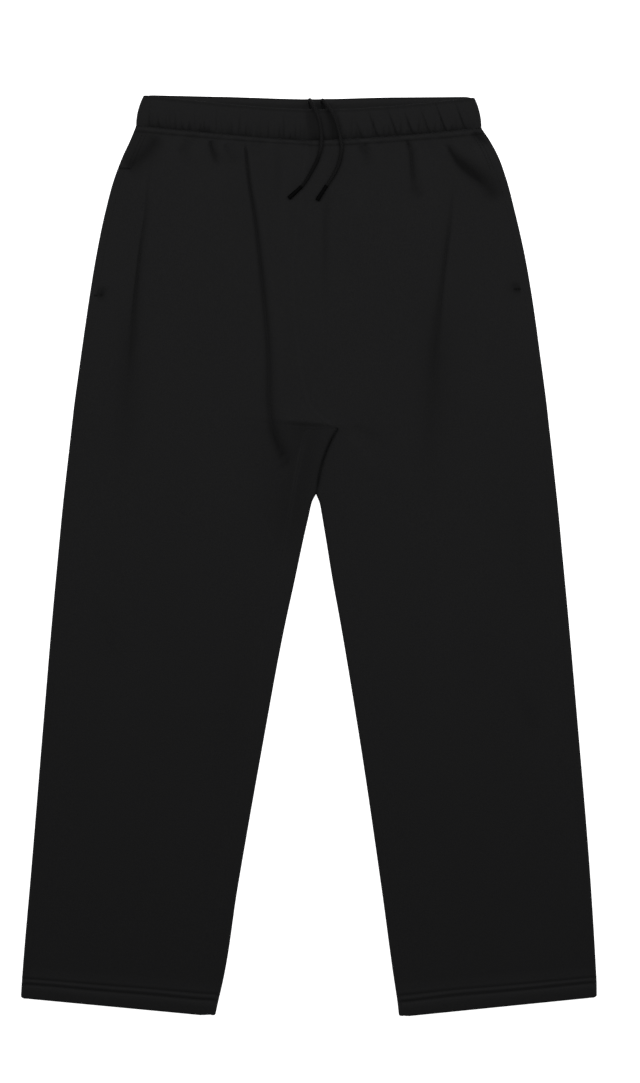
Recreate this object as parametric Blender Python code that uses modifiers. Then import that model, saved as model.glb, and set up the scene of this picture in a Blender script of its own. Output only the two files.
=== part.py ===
"""Track pants of heavy fleece, laid flat on their back panels.

Metres, +Z up, +Y towards the waist. The origin is under the middle of the garment, on the
surface that it lies on. The wearer's right leg lies at -X and the left leg at +X.

Every cut piece is one closed solid with a real cloth wall. The back panels lie on the
surface, turn up round both edges of each leg and end on top at the side seam and the
inseam. The front panels close the top between those seams. Pieces meet with SEAM_GAP.
"""

import math
from collections import namedtuple

import bmesh
import bpy
from mathutils import Vector

COLLECTION = "track_pants"
RIGHT, LEFT = -1, 1
SIDE_NAMES = {RIGHT: "right", LEFT: "left"}

# Cloth and make
CLOTH = 0.0024
HEM_CLOTH = 0.0042
HEM_HEIGHT = 0.020
SEAM_GAP = 0.0003
WAIST_GAP = 0.0005
SIDE_WRAP = 0.009

# How the cloth lies
FOLD_RADIUS = 0.0041
WIDE_FOLD_RADIUS = 0.0046
FOLD_TURN = 4
SHOULDER = 0.014
LEG_HEIGHT = 0.0064
PELVIS_HEIGHT = 0.0087
WAIST_HEIGHT = 0.0096
HEM_STACK = 0.0092
LEAST_HEIGHT = 0.0053

# Waistband: a flattened loop, elastic inside, gathered along its lower seam
BAND_BOTTOM_Y = 0.4931
BAND_HEIGHT = 0.0345
BAND_CLOTH = 0.0048
BAND_STACK = 0.0118
BAND_BULGE = 0.0012
BAND_HALF_WIDTH = 0.1987
BAND_TAPER = {RIGHT: 0.0088, LEFT: 0.0081}
BAND_POWER = {RIGHT: 1.6, LEFT: 2.0}
BAND_ROWS = (0.0, 0.2, 0.5, 0.8, 1.0)
FRONT_DROP = 0.0148
BACK_DROP = 0.0040
PUCKERS = 30
PUCKER_DEPTH = 0.0005
BACK_COLUMNS = 12
CORD_LIFT = 0.0050
CORD_LIFT_REACH = 0.030

# Side pockets
POCKET_GAP = 0.0012
POCKET_TOP_Y = 0.4453
POCKET_BOTTOM_Y = {RIGHT: 0.2993, LEFT: 0.3068}
BAG_WALL = 0.0006
BAG_UNDER_Z = 0.0027
BAG_TOP_Z = 0.0045
BAG_MIDDLE_Y = 0.335
BAG_HALF_HEIGHT = 0.125
BAG_REACH = 0.125
BAG_INSET = 0.0125
BAG_ROWS = 12
BAG_END_SHARE = 0.97

# Drawcord
CORD_DIAMETER = 0.0042
CORD_STEP = 0.0052
TIP_LENGTH = 0.0195
TIP_DIAMETER = 0.0048
TIP_CHAMFER = 0.0006
TIP_SIDES = 12

# Colours, linear
FLEECE = (0.0110, 0.0110, 0.0112)
CORD_BLACK = (0.0065, 0.0065, 0.0067)
TIP_BLACK = (0.0040, 0.0040, 0.0042)

PelvisSection = namedtuple(
    "PelvisSection", "outer_y right_x left_x rise_x rise_y back_x back_y steps"
)
LegSection = namedtuple("LegSection", "outer_y outer_x edge_x edge_y seam_x seam_y turn steps")
Fold = namedtuple("Fold", "name depth width start_fade end_fade points")
Row = namedtuple("Row", "outer top_end under_end edge turn power")

WAIST_Y = BAND_BOTTOM_Y - WAIST_GAP

# Sections across the pelvis, waist to crotch: the outline at each side, the front rise seam
# and the centre-back seam below it. The last one holds the crotch point and the fork.
PELVIS = (
    PelvisSection(WAIST_Y, -0.1987, 0.1987, 0.0, WAIST_Y - FRONT_DROP, 0.0, WAIST_Y - BACK_DROP, 2),
    PelvisSection(0.4787, -0.2055, 0.2081, -0.0014, 0.4649, 0.0003, 0.4764, 2),
    PelvisSection(0.4614, -0.2136, 0.2175, -0.0037, 0.4442, 0.0003, 0.4580, 2),
    PelvisSection(0.4350, -0.2238, 0.2272, -0.0078, 0.4120, 0.0003, 0.4304, 2),
    PelvisSection(0.3982, -0.2338, 0.2369, -0.0124, 0.3752, 0.0003, 0.3924, 1),
    PelvisSection(0.3522, -0.2435, 0.2475, -0.0164, 0.3349, 0.0009, 0.3464, 1),
    PelvisSection(0.3062, -0.2513, 0.2558, -0.0170, 0.2947, 0.0014, 0.2947, 1),
    PelvisSection(0.2659, -0.2573, 0.2618, -0.0135, 0.2602, 0.0026, 0.2429, 1),
    PelvisSection(0.2314, -0.2622, 0.2664, -0.0089, 0.2234, 0.0037, 0.1912, 1),
    PelvisSection(0.2004, -0.2665, 0.2706, -0.0032, 0.1900, 0.0049, 0.1452, 1),
    PelvisSection(0.1739, -0.2701, 0.2740, 0.0072, 0.1676, 0.0066, 0.1084, 1),
    PelvisSection(0.1521, -0.2726, 0.2764, 0.0336, 0.1475, 0.0083, 0.0716, 1),
)

# Sections across each leg below the fork: outer edge, inner edge, inseam on top, and how far
# the inner fold has turned from the crotch seam's line (0) to square with the edge (1).
LEGS = {
    RIGHT: (
        LegSection(0.1245, -0.2757, 0.0037, 0.0624, -0.0003, 0.1429, 1.0, 1),
        LegSection(0.0934, -0.2793, -0.0003, 0.0451, -0.0101, 0.1130, 1.0, 1),
        LegSection(0.0532, -0.2837, -0.0066, 0.0175, -0.0198, 0.0635, 1.0, 1),
        LegSection(0.0072, -0.2881, -0.0158, -0.0262, -0.0302, 0.0072, 1.0, 1),
        LegSection(-0.0503, -0.2935, -0.0273, -0.0791, -0.0423, -0.0561, 1.0, 2),
        LegSection(-0.1998, -0.3062, -0.0538, -0.2217, -0.0716, -0.2171, 1.0, 2),
        LegSection(-0.3608, -0.3195, -0.0814, -0.3792, -0.0980, -0.3769, 1.0, 2),
        LegSection(-0.4820, -0.3298, -0.1015, -0.5013, -0.1176, -0.4996, 1.0, 1),
        LegSection(-0.4857, -0.3300, -0.1024, -0.5052, -0.1185, -0.5035, 1.0, 1),
        LegSection(-0.5057, -0.3311, -0.1072, -0.5270, -0.1233, -0.5255, 1.0, 1),
    ),
    LEFT: (
        LegSection(0.1245, 0.2795, 0.0124, 0.0612, 0.0296, 0.1256, 1.0, 1),
        LegSection(0.0934, 0.2829, 0.0152, 0.0463, 0.0256, 0.0934, 1.0, 1),
        LegSection(0.0532, 0.2872, 0.0204, 0.0152, 0.0262, 0.0474, 1.0, 1),
        LegSection(0.0072, 0.2915, 0.0267, -0.0239, 0.0348, -0.0101, 1.0, 1),
        LegSection(-0.0503, 0.2970, 0.0359, -0.0745, 0.0451, -0.0676, 1.0, 2),
        LegSection(-0.1998, 0.3102, 0.0607, -0.2251, 0.0704, -0.2217, 1.0, 2),
        LegSection(-0.3608, 0.3235, 0.0837, -0.3826, 0.0940, -0.3809, 1.0, 2),
        LegSection(-0.4809, 0.3309, 0.1003, -0.5020, 0.1107, -0.5005, 1.0, 1),
        LegSection(-0.4846, 0.3310, 0.1008, -0.5060, 0.1112, -0.5049, 1.0, 1),
        LegSection(-0.5046, 0.3312, 0.1032, -0.5276, 0.1136, -0.5266, 1.0, 1),
    ),
}

# The largest folds: depth is down, so a ridge has a negative one. A fade is the share of the
# fold's length over which it dies away at its first and its last point.
FOLDS = (
    Fold("side crease right", 0.0018, 0.009, 0.10, 0.35,
         ((-0.1768, 0.4821), (-0.1849, 0.4419), (-0.1941, 0.3591), (-0.2010, 0.3004),
          (-0.2102, 0.1797), (-0.2125, 0.0992))),
    Fold("side crease left", 0.0018, 0.009, 0.10, 0.35,
         ((0.1670, 0.4499), (0.1636, 0.3959), (0.1498, 0.2786), (0.1440, 0.2257),
          (0.1429, 0.1567), (0.1475, 0.0992))),
    Fold("centre crease right", 0.0030, 0.008, 0.05, 0.15,
         ((-0.0737, 0.4718), (-0.0676, 0.4281), (-0.0584, 0.3717), (-0.0469, 0.2487),
          (-0.0457, 0.1797), (-0.0400, 0.1406), (-0.0227, 0.1072))),
    Fold("hip fold left", 0.0030, 0.012, 0.15, 0.30,
         ((0.1601, 0.4706), (0.1739, 0.4499), (0.2004, 0.4315), (0.2153, 0.4189))),
    Fold("hip hollow right", 0.0024, 0.010, 0.15, 0.30,
         ((-0.1734, 0.4810), (-0.1872, 0.4614), (-0.2102, 0.4453))),
    Fold("gather right of centre", 0.0018, 0.008, 0.10, 0.50,
         ((-0.0365, 0.4691), (-0.0365, 0.3924))),
    Fold("gather right", 0.0022, 0.008, 0.10, 0.40, ((-0.1124, 0.4729), (-0.1021, 0.4488))),
    Fold("gather left of centre", 0.0018, 0.008, 0.10, 0.50,
         ((0.0658, 0.4695), (0.0670, 0.4300))),
    Fold("gather left", 0.0022, 0.008, 0.10, 0.40,
         ((0.1107, 0.4741), (0.1187, 0.4350), (0.1222, 0.4143))),
    Fold("crotch crest", -0.0012, 0.012, 0.30, 0.10,
         ((-0.0388, 0.1475), (0.0026, 0.1544), (0.0336, 0.1475))),
    Fold("crotch hollow", 0.0014, 0.016, 0.30, 0.30, ((0.0060, 0.1240), (0.0020, 0.0950))),
)

# Lines that the columns of each front panel gather round, waist to hem, and the number of
# cells between the side seam, the three columns of each line and the inner seam.
GUIDES = {
    RIGHT: (
        ((-0.1768, 0.4821), (-0.1849, 0.4419), (-0.1941, 0.3591), (-0.2102, 0.1797),
         (-0.2250, 0.0000), (-0.2750, -0.5100)),
        ((-0.0737, 0.4718), (-0.0676, 0.4281), (-0.0584, 0.3717), (-0.0469, 0.2487),
         (-0.0457, 0.1797), (-0.0500, 0.1000), (-0.1000, -0.0500), (-0.1800, -0.5150)),
    ),
    LEFT: (
        ((0.1670, 0.4860), (0.1636, 0.3959), (0.1498, 0.2786), (0.1440, 0.2257),
         (0.1600, 0.0000), (0.2500, -0.5100)),
        ((0.0658, 0.4860), (0.0670, 0.4300), (0.0700, 0.2000), (0.0800, 0.0500),
         (0.1700, -0.5150)),
    ),
}
GUIDE_REACH = 0.009
COLUMN_CELLS = (3, 1, 1, 6, 1, 1, 4)
UNDER_CELLS = 3
WRAP_CELLS = 2
WRAP_BEND = 0.08

# How far each panel's corner keeps from the point where four seams meet
CROTCH_CORNERS = {
    "front_panel_right": (-0.0008, 0.0001),
    "front_panel_left": (0.0005, 0.0001),
    "back_panel_right": (-0.0005, -0.0005),
    "back_panel_left": (-0.0008, -0.0030),
}

# Each free end of the drawcord: out from behind the front of the band, over its edge and down
CORD_ROUTES = {
    RIGHT: (
        (-0.0112, 0.5030, 0.0075), (-0.0104, 0.5085, 0.0073), (-0.0100, 0.5136, 0.0073),
        (-0.0078, 0.5203, 0.0090), (-0.0026, 0.5231, 0.0132), (0.0027, 0.5203, 0.0174),
        (0.0049, 0.5136, 0.0191), (0.0068, 0.5050, 0.0187), (0.0095, 0.4959, 0.0177),
        (0.0124, 0.4810, 0.0150), (0.0124, 0.4672, 0.0128), (0.0083, 0.4534, 0.0124),
        (0.0003, 0.4376, 0.0121), (-0.0053, 0.4276, 0.0119), (-0.0083, 0.4246, 0.0119),
    ),
    LEFT: (
        (0.0052, 0.5030, 0.0075), (0.0057, 0.5080, 0.0073), (0.0060, 0.5124, 0.0073),
        (0.0086, 0.5200, 0.0090), (0.0150, 0.5231, 0.0132), (0.0213, 0.5200, 0.0174),
        (0.0239, 0.5124, 0.0191), (0.0255, 0.5060, 0.0187), (0.0290, 0.4971, 0.0177),
        (0.0336, 0.4810, 0.0150), (0.0342, 0.4649, 0.0128), (0.0313, 0.4511, 0.0124),
        (0.0267, 0.4373, 0.0121), (0.0230, 0.4290, 0.0119), (0.0210, 0.4258, 0.0119),
    ),
}
TIP_AIMS = {RIGHT: (-0.737, -0.676, 0.0), LEFT: (-0.543, -0.840, 0.0)}


def ramp(value, start, end):
    """Rise smoothly from 0 at start to 1 at end."""
    share = min(1.0, max(0.0, (value - start) / (end - start)))
    return share * share * (3.0 - 2.0 * share)


def mix(first, last, share):
    return first + (last - first) * share


def row_slopes(sections, index):
    """Slope of every field against outer_y at one section, from its two neighbours."""
    before = sections[max(0, index - 1)]
    after = sections[min(len(sections) - 1, index + 1)]
    here = sections[index]
    near = here.outer_y - before.outer_y
    far = after.outer_y - here.outer_y
    slopes = []
    for low, value, high in zip(before, here, after):
        into = (value - low) / near if near else None
        out = (high - value) / far if far else None
        if into is None or out is None:
            slopes.append(out if into is None else into)
        else:
            slopes.append((into * far + out * near) / (near + far))
    return slopes


def between(first, last, first_slopes, last_slopes, share):
    """A section between two others, on a Hermite curve of outer_y for every field."""
    span = last.outer_y - first.outer_y
    bend_in = share * (1.0 - share) ** 2 * span
    bend_out = -share * share * (1.0 - share) * span
    ease = ramp(share, 0.0, 1.0)
    values = []
    for low, high, slope_in, slope_out in zip(first, last, first_slopes, last_slopes):
        values.append(mix(low, high, ease) + slope_in * bend_in + slope_out * bend_out)
    return type(first)(*values)


def spread(sections):
    """The sections of a table with the rows that its steps put between them."""
    slopes = [row_slopes(sections, index) for index in range(len(sections))]
    rows = []
    for index, section in enumerate(sections[:-1]):
        for step in range(section.steps):
            share = step / section.steps
            following = sections[index + 1]
            rows.append(between(section, following, slopes[index], slopes[index + 1], share))
    rows.append(sections[-1])
    return rows


def garment_rows(side):
    """All rows of one side, waist to hem. Rows above the fork have no inner edge."""
    rows = []
    for section in spread(PELVIS):
        outer_x = section.right_x if side == RIGHT else section.left_x
        straight = ramp(section.outer_y, PELVIS[-1].outer_y, WAIST_Y)
        rows.append(Row(
            outer=Vector((outer_x, section.outer_y)),
            top_end=Vector((section.rise_x, section.rise_y)),
            under_end=Vector((section.back_x, section.back_y)),
            edge=None,
            turn=0.0,
            power=mix(1.0, BAND_POWER[side], straight),
        ))
    fork = rows.pop()
    crotch = PELVIS[-1]
    crotch_section = LegSection(crotch.outer_y, fork.outer.x, crotch.back_x, crotch.back_y,
                                crotch.rise_x, crotch.rise_y, 0.0, 2)
    for section in spread((crotch_section,) + LEGS[side]):
        rows.append(Row(
            outer=Vector((section.outer_x, section.outer_y)),
            top_end=Vector((section.seam_x, section.seam_y)),
            under_end=Vector((section.edge_x, section.edge_y)),
            edge=Vector((section.edge_x, section.edge_y)),
            turn=min(1.0, max(0.0, section.turn)),
            power=1.0,
        ))
    return rows


ROWS = {side: garment_rows(side) for side in (RIGHT, LEFT)}


def row_point(row, end, share):
    """A point of a row's plan curve, from the outer edge (0) to its inner end (1)."""
    return Vector((
        mix(row.outer.x, end.x, share),
        mix(row.outer.y, end.y, 1.0 - (1.0 - share) ** row.power),
    ))


def inset_share(row, end, inset):
    """The share of a row at which it is this far in from the outer edge."""
    return inset / (end - row.outer).length


def segment_distance(point, start, end):
    """Distance to a segment, and the share of it where the nearest point lies."""
    along = end - start
    share = min(1.0, max(0.0, (point - start).dot(along) / along.length_squared))
    return (point - start - along * share).length, share


def edge_distance(point):
    """Distance in plan to the nearest fold at an outer or inner edge."""
    nearest = 1.0
    for rows in ROWS.values():
        for first, last in zip(rows, rows[1:]):
            nearest = min(nearest, segment_distance(point, first.outer, last.outer)[0])
            if first.edge is not None:
                nearest = min(nearest, segment_distance(point, first.edge, last.edge)[0])
    return nearest


def hem_share(row_y, side):
    """1 within the hem and 0 above it, by where the row starts at the outer edge."""
    hem_top = LEGS[side][-2].outer_y
    return 1.0 - ramp(row_y, hem_top, hem_top + 0.003)


def fold_radius(row, side):
    wide = max(hem_share(row.outer.y, side), ramp(row.outer.y, 0.42, 0.48))
    return mix(FOLD_RADIUS, WIDE_FOLD_RADIUS, wide)


def fold_depth(point):
    """How far the folds press the top cloth down at a place in plan."""
    total = 0.0
    for fold in FOLDS:
        points = [Vector(place) for place in fold.points]
        lengths = [(b - a).length for a, b in zip(points, points[1:])]
        best, along, done = 1.0, 0.0, 0.0
        for start, end, length in zip(points, points[1:], lengths):
            distance, share = segment_distance(point, start, end)
            if distance < best:
                best, along = distance, done + share * length
            done += length
        along /= done
        fade = ramp(along, 0.0, fold.start_fade) * ramp(1.0 - along, 0.0, fold.end_fade)
        total += fold.depth * fade * math.exp(-((best / fold.width) ** 2))
    return total


def outer_x(side, y):
    """Where the outer edge is at a height y."""
    for first, last in zip(ROWS[side], ROWS[side][1:]):
        if first.outer.y >= y >= last.outer.y:
            share = (first.outer.y - y) / (first.outer.y - last.outer.y)
            return mix(first.outer.x, last.outer.x, share)
    return ROWS[side][0 if y > WAIST_Y else -1].outer.x


def least_height(point, side):
    """The lowest that the top cloth can lie: on the back panel, or on a pocket bag there."""
    reach = abs(point.x) - (abs(outer_x(side, point.y)) - BAG_INSET - BAG_REACH)
    over_bag = ramp(reach, -0.030, -0.010)
    over_bag *= 1.0 - ramp(abs(point.y - BAG_MIDDLE_Y), BAG_HALF_HEIGHT + 0.004,
                           BAG_HALF_HEIGHT + 0.016)
    return mix(LEAST_HEIGHT, BAG_TOP_Z + SEAM_GAP + CLOTH, over_bag)


def top_height(point, row, side):
    """Height of the garment's upper face at a place in plan."""
    radius = fold_radius(row, side)
    hem = hem_share(row.outer.y, side)
    base = mix(LEG_HEIGHT, PELVIS_HEIGHT, ramp(row.outer.y, 0.0, 0.26))
    base = mix(base, WAIST_HEIGHT, ramp(point.y, 0.42, 0.47))
    base = mix(base, HEM_STACK, hem)
    least = mix(least_height(point, side), HEM_STACK, hem)
    shoulder = math.exp(-max(0.0, edge_distance(point) - radius) / SHOULDER)
    height = mix(base - fold_depth(point) * (1.0 - hem), 2.0 * radius, shoulder)
    return max(least, height)


def on_top(point, row, side):
    return Vector((point.x, point.y, top_height(point, row, side)))


def seam_half_gap(row, side):
    """Half the gap at the side seam, wider along the pocket mouth."""
    inside = POCKET_BOTTOM_Y[side] < row.outer.y < POCKET_TOP_Y
    return (POCKET_GAP if inside else SEAM_GAP) / 2


def square_to(points, index):
    """Unit vector to the left of a run of points, as it goes."""
    along = points[min(len(points) - 1, index + 1)] - points[max(0, index - 1)]
    return Vector((-along.y, along.x)).normalized()


def inner_seam(side, name):
    """The rise seam and then the inseam, moved into the named panel by half a seam gap."""
    seam = [row.top_end for row in ROWS[side]]
    crotch = next(index for index, row in enumerate(ROWS[side]) if row.edge is not None)
    runs = (seam[: crotch + 1], seam[crotch:])
    into_front = -side if name.startswith("front") else side
    moved = []
    for run in runs:
        for index, point in enumerate(run):
            moved.append(point - square_to(run, index) * into_front * SEAM_GAP / 2)
    del moved[crotch]
    moved[crotch] = seam[crotch] + Vector(CROTCH_CORNERS[name])
    return moved


def guide_share(row, line):
    """The share of a row's top at which it crosses a guide line."""
    share = 0.5
    for _ in range(6):
        y = row_point(row, row.top_end, share).y
        x = line[0][0]
        for (start_x, start_y), (end_x, end_y) in zip(line, line[1:]):
            if y < start_y:
                x = mix(start_x, end_x, min(1.0, (start_y - y) / (start_y - end_y)))
        share = (x - row.outer.x) / (row.top_end.x - row.outer.x)
    return share


def front_shares(row, side):
    """Shares of a row's top from the side seam to the inner seam, closer at the creases."""
    start = inset_share(row, row.top_end, SIDE_WRAP + seam_half_gap(row, side))
    reach = inset_share(row, row.top_end, GUIDE_REACH)
    anchors = [start]
    for line in GUIDES[side]:
        middle = guide_share(row, line)
        anchors += [middle - reach, middle, middle + reach]
    anchors.append(1.0)
    shares = []
    for first, last, cells in zip(anchors, anchors[1:], COLUMN_CELLS):
        shares += [mix(first, last, cell / cells) for cell in range(cells)]
    return shares + [1.0]


def skin(name, rows, flip, wall, hem_rows=0, loop=False):
    """Skin rows of points into an open sheet and give it a wall inwards from that sheet."""
    sheet = bmesh.new()
    grid = [[sheet.verts.new(point) if point is not None else None for point in row]
            for row in rows]
    for above, below in zip(grid, grid[1:]):
        columns = len(above) if loop else len(above) - 1
        for column in range(columns):
            following = (column + 1) % len(above)
            corners = (above[column], above[following], below[following], below[column])
            if None not in corners:
                sheet.faces.new(reversed(corners) if flip else corners)
    bmesh.ops.delete(sheet, geom=[v for v in sheet.verts if not v.link_faces], context="VERTS")
    mesh = bpy.data.meshes.new(name)
    sheet.verts.index_update()
    hem = [v.index for row in grid[len(grid) - hem_rows:] for v in row if v and v.is_valid]
    sheet.to_mesh(mesh)
    sheet.free()
    piece = bpy.data.objects.new(name, mesh)
    shell = piece.modifiers.new("wall", "SOLIDIFY")
    shell.thickness = wall
    shell.offset = -1.0
    if hem_rows:
        group = piece.vertex_groups.new(name="hem")
        group.add(hem, 1.0, "REPLACE")
        shell.thickness = HEM_CLOTH
        shell.vertex_group = group.name
        shell.thickness_vertex_group = wall / HEM_CLOTH
    return piece


def front_panel(side):
    """The front of one leg: side seam to rise seam, then to the inseam."""
    name = f"front_panel_{SIDE_NAMES[side]}"
    seam = inner_seam(side, name)
    rows = []
    for row, seam_point in zip(ROWS[side], seam):
        points = [row_point(row, row.top_end, share) for share in front_shares(row, side)]
        points[-1] = seam_point
        rows.append([on_top(point, row, side) for point in points])
    return skin(name, rows, side == RIGHT, CLOTH, hem_rows=2)


def outer_turn(row, side):
    """The back panel's turn round the outer edge, from the side seam to the underside."""
    radius = fold_radius(row, side)
    seam_inset = SIDE_WRAP - seam_half_gap(row, side)
    seam_share = inset_share(row, row.top_end, seam_inset)
    points = [on_top(row_point(row, row.top_end, seam_share), row, side)]
    for step in range(FOLD_TURN + 1):
        angle = math.pi * (0.5 - step / FOLD_TURN)
        end = row.top_end if angle > 0 else row.under_end
        inset = radius * (1.0 - math.cos(angle))
        place = row_point(row, end, inset_share(row, end, inset))
        points.append(Vector((place.x, place.y, radius * (1.0 + math.sin(angle)))))
    return points


def inner_turn(row, index, side, seam_point):
    """The turn round the inner edge of a leg, from the underside to the inseam on top."""
    edges = [other.edge for other in ROWS[side] if other.edge is not None]
    place = index - (len(ROWS[side]) - len(edges))
    crotch_line = (edges[0] - ROWS[side][index - place].top_end).normalized() * -1.0
    into_leg = square_to(edges, place) * side
    aim = (crotch_line * (1.0 - row.turn) + into_leg * row.turn).normalized()
    radius = fold_radius(row, side)
    points = []
    for step in range(FOLD_TURN + 1):
        angle = math.pi * (step / FOLD_TURN - 0.5)
        inset = radius * (1.0 - math.cos(angle))
        spot = row.edge + aim * inset
        points.append(Vector((spot.x, spot.y, radius * (1.0 + math.sin(angle)))))
    start = row.edge + aim * radius
    bend = start + aim * (seam_point - start).length * WRAP_BEND
    for cell in range(1, WRAP_CELLS + 1):
        share = cell / WRAP_CELLS
        spot = mix(mix(start, bend, share), mix(bend, seam_point, share), share)
        points.append(on_top(spot, row, side))
    return points


def back_panel(side):
    """The back of one leg: side seam, round the outer edge, flat below, round the inner edge."""
    name = f"back_panel_{SIDE_NAMES[side]}"
    seam = inner_seam(side, name)
    rows = []
    for index, row in enumerate(ROWS[side]):
        points = outer_turn(row, side)
        if row.edge is None:
            end = row.under_end + Vector((side * SEAM_GAP / 2, 0.0))
            start_share = inset_share(row, row.under_end, fold_radius(row, side))
            for cell in range(1, UNDER_CELLS):
                share = mix(start_share, 1.0, cell / UNDER_CELLS)
                points.append(row_point(row, row.under_end, share).to_3d())
            points.append(end.to_3d())
            points += [None] * (FOLD_TURN + WRAP_CELLS)
        else:
            turn = inner_turn(row, index, side, seam[index])
            start = points[-1]
            for cell in range(1, UNDER_CELLS):
                points.append(mix(start, turn[0], cell / UNDER_CELLS))
            points += turn
        rows.append(points)
    part_crotch_line(rows, side)
    return skin(name, rows, side == LEFT, CLOTH, hem_rows=2)


def part_crotch_line(rows, side):
    """Move the fork row's turn half a gap aside, so that the two back panels part there."""
    fork = next(index for index, row in enumerate(ROWS[side]) if row.edge is not None)
    row = ROWS[side][fork]
    along = (row.top_end - row.edge).normalized()
    aside = Vector((along.y, -along.x)).to_3d() * side * SEAM_GAP / 2
    first = len(rows[fork]) - (FOLD_TURN + WRAP_CELLS + 1)
    for column in range(first, len(rows[fork]) - 1):
        rows[fork][column] = rows[fork][column] + aside


def band_point(x_share, level, side_angle):
    """A point of the waistband's outer face. side_angle is None on the flat stretches."""
    side = RIGHT if x_share < 0 else LEFT
    half_width = BAND_HALF_WIDTH - BAND_TAPER[side] * level ** 2
    radius = BAND_STACK / 2 - BAND_BULGE * (2.0 * level - 1.0) ** 2 / 2
    front = side_angle is None or side_angle > 0
    inset = 0.0 if side_angle is None else radius * (1.0 - math.cos(side_angle))
    reach = half_width - radius
    x = x_share * reach if side_angle is None else math.copysign(half_width - inset, x_share)
    s = min(1.0, abs(x) / half_width)
    drop = (FRONT_DROP if front else BACK_DROP) * (1.0 - s ** BAND_POWER[side])
    y = BAND_BOTTOM_Y - drop + BAND_HEIGHT * level
    if side_angle is not None:
        return Vector((x, y, radius * (1.0 + math.sin(side_angle))))
    lift = CORD_LIFT * level * math.exp(-((x / CORD_LIFT_REACH) ** 2))
    return Vector((x, y, 2.0 * radius + lift))


def waistband():
    """One loop: puckered front, a fold at each side and a flat back."""
    rows = []
    front_columns = 2 * PUCKERS
    for level in BAND_ROWS:
        row = []
        for column in range(front_columns + 1):
            point = band_point(mix(-1.0, 1.0, column / front_columns), level, None)
            swell = math.cos(math.pi * column) * PUCKER_DEPTH * (1.0 - level)
            edge_calm = ramp(min(column, front_columns - column), 0, 2)
            point.z += swell * edge_calm
            row.append(point)
        for step in range(1, FOLD_TURN):
            row.append(band_point(1.0, level, math.pi * (0.5 - step / FOLD_TURN)))
        for column in range(BACK_COLUMNS + 1):
            side_share = mix(1.0, -1.0, column / BACK_COLUMNS)
            row.append(back_band_point(side_share, level))
        for step in range(1, FOLD_TURN):
            row.append(band_point(-1.0, level, math.pi * (step / FOLD_TURN - 0.5)))
        rows.append(row)
    rows.reverse()
    return skin("waistband", rows, True, BAND_CLOTH, loop=True)


def back_band_point(x_share, level):
    """The flat underside of the waistband's back."""
    side = RIGHT if x_share < 0 else LEFT
    half_width = BAND_HALF_WIDTH - BAND_TAPER[side] * level ** 2
    radius = BAND_STACK / 2 - BAND_BULGE * (2.0 * level - 1.0) ** 2 / 2
    x = x_share * (half_width - radius)
    s = abs(x) / half_width
    drop = BACK_DROP * (1.0 - s ** BAND_POWER[side])
    return Vector((x, BAND_BOTTOM_Y - drop + BAND_HEIGHT * level, 0.0))


def pocket_bag(side):
    """Two thin layers folded along a round edge, open towards the side seam."""
    radius = (BAG_TOP_Z - BAG_UNDER_Z) / 2
    rows = []
    for index in range(BAG_ROWS + 1):
        share = mix(-BAG_END_SHARE, BAG_END_SHARE, index / BAG_ROWS)
        y = BAG_MIDDLE_Y - BAG_HALF_HEIGHT * math.sin(share * math.pi / 2)
        reach = BAG_REACH * math.cos(share * math.pi / 2) + radius
        mouth = outer_x(side, y) - side * BAG_INSET
        inner = mouth - side * reach
        upper = [Vector((mix(mouth, inner, t / 2), y, BAG_TOP_Z)) for t in range(3)]
        nose = Vector((inner - side * radius, y, BAG_UNDER_Z + radius))
        lower = [Vector((mix(inner, mouth, t / 2), y, BAG_UNDER_Z)) for t in range(3)]
        rows.append(upper + [nose] + lower)
    return skin(f"pocket_bag_{SIDE_NAMES[side]}", rows, side == RIGHT, BAG_WALL)


def smooth_route(route, step):
    """Points about one step apart on a Catmull-Rom curve through the route's points."""
    points = [Vector(point) for point in route]
    ends = [points[0] * 2 - points[1]] + points + [points[-1] * 2 - points[-2]]
    fine = []
    for before, start, end, after in zip(ends, ends[1:], ends[2:], ends[3:]):
        pieces = max(1, round((end - start).length / step))
        for piece in range(pieces):
            t = piece / pieces
            fine.append(0.5 * (2 * start + (end - before) * t
                               + (2 * before - 5 * start + 4 * end - after) * t ** 2
                               + (3 * start - before - 3 * end + after) * t ** 3))
    return fine + [points[-1]]


def drawcord(side):
    """One free end of the round drawcord."""
    points = smooth_route(CORD_ROUTES[side], CORD_STEP)
    curve = bpy.data.curves.new(f"drawcord_{SIDE_NAMES[side]}", "CURVE")
    curve.dimensions = "3D"
    curve.bevel_depth = CORD_DIAMETER / 2
    curve.bevel_resolution = 2
    curve.use_fill_caps = True
    spline = curve.splines.new("POLY")
    spline.points.add(len(points) - 1)
    for knot, point in zip(spline.points, points):
        knot.co = (*point, 1.0)
    return bpy.data.objects.new(curve.name, curve)


def cord_tip(side):
    """A turned sleeve on the cord's end, its edges broken."""
    radius = TIP_DIAMETER / 2
    profile = (
        (0.0, TIP_LENGTH), (radius - TIP_CHAMFER, TIP_LENGTH), (radius, TIP_LENGTH - TIP_CHAMFER),
        (radius, TIP_CHAMFER), (radius - TIP_CHAMFER, 0.0), (0.0, 0.0),
    )
    name = f"cord_tip_{SIDE_NAMES[side]}"
    mesh = bpy.data.meshes.new(name)
    edges = [(index, index + 1) for index in range(len(profile) - 1)]
    mesh.from_pydata([(x, 0.0, z) for x, z in profile], edges, [])
    tip = bpy.data.objects.new(name, mesh)
    turn = tip.modifiers.new("turn", "SCREW")
    turn.steps = TIP_SIDES
    turn.render_steps = TIP_SIDES
    turn.use_merge_vertices = True
    turn.merge_threshold = 0.0001
    aim = Vector(TIP_AIMS[side]).normalized()
    tip.location = Vector(CORD_ROUTES[side][-1]) + aim * SEAM_GAP
    tip.rotation_euler = aim.to_track_quat("Z", "Y").to_euler()
    return tip


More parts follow.
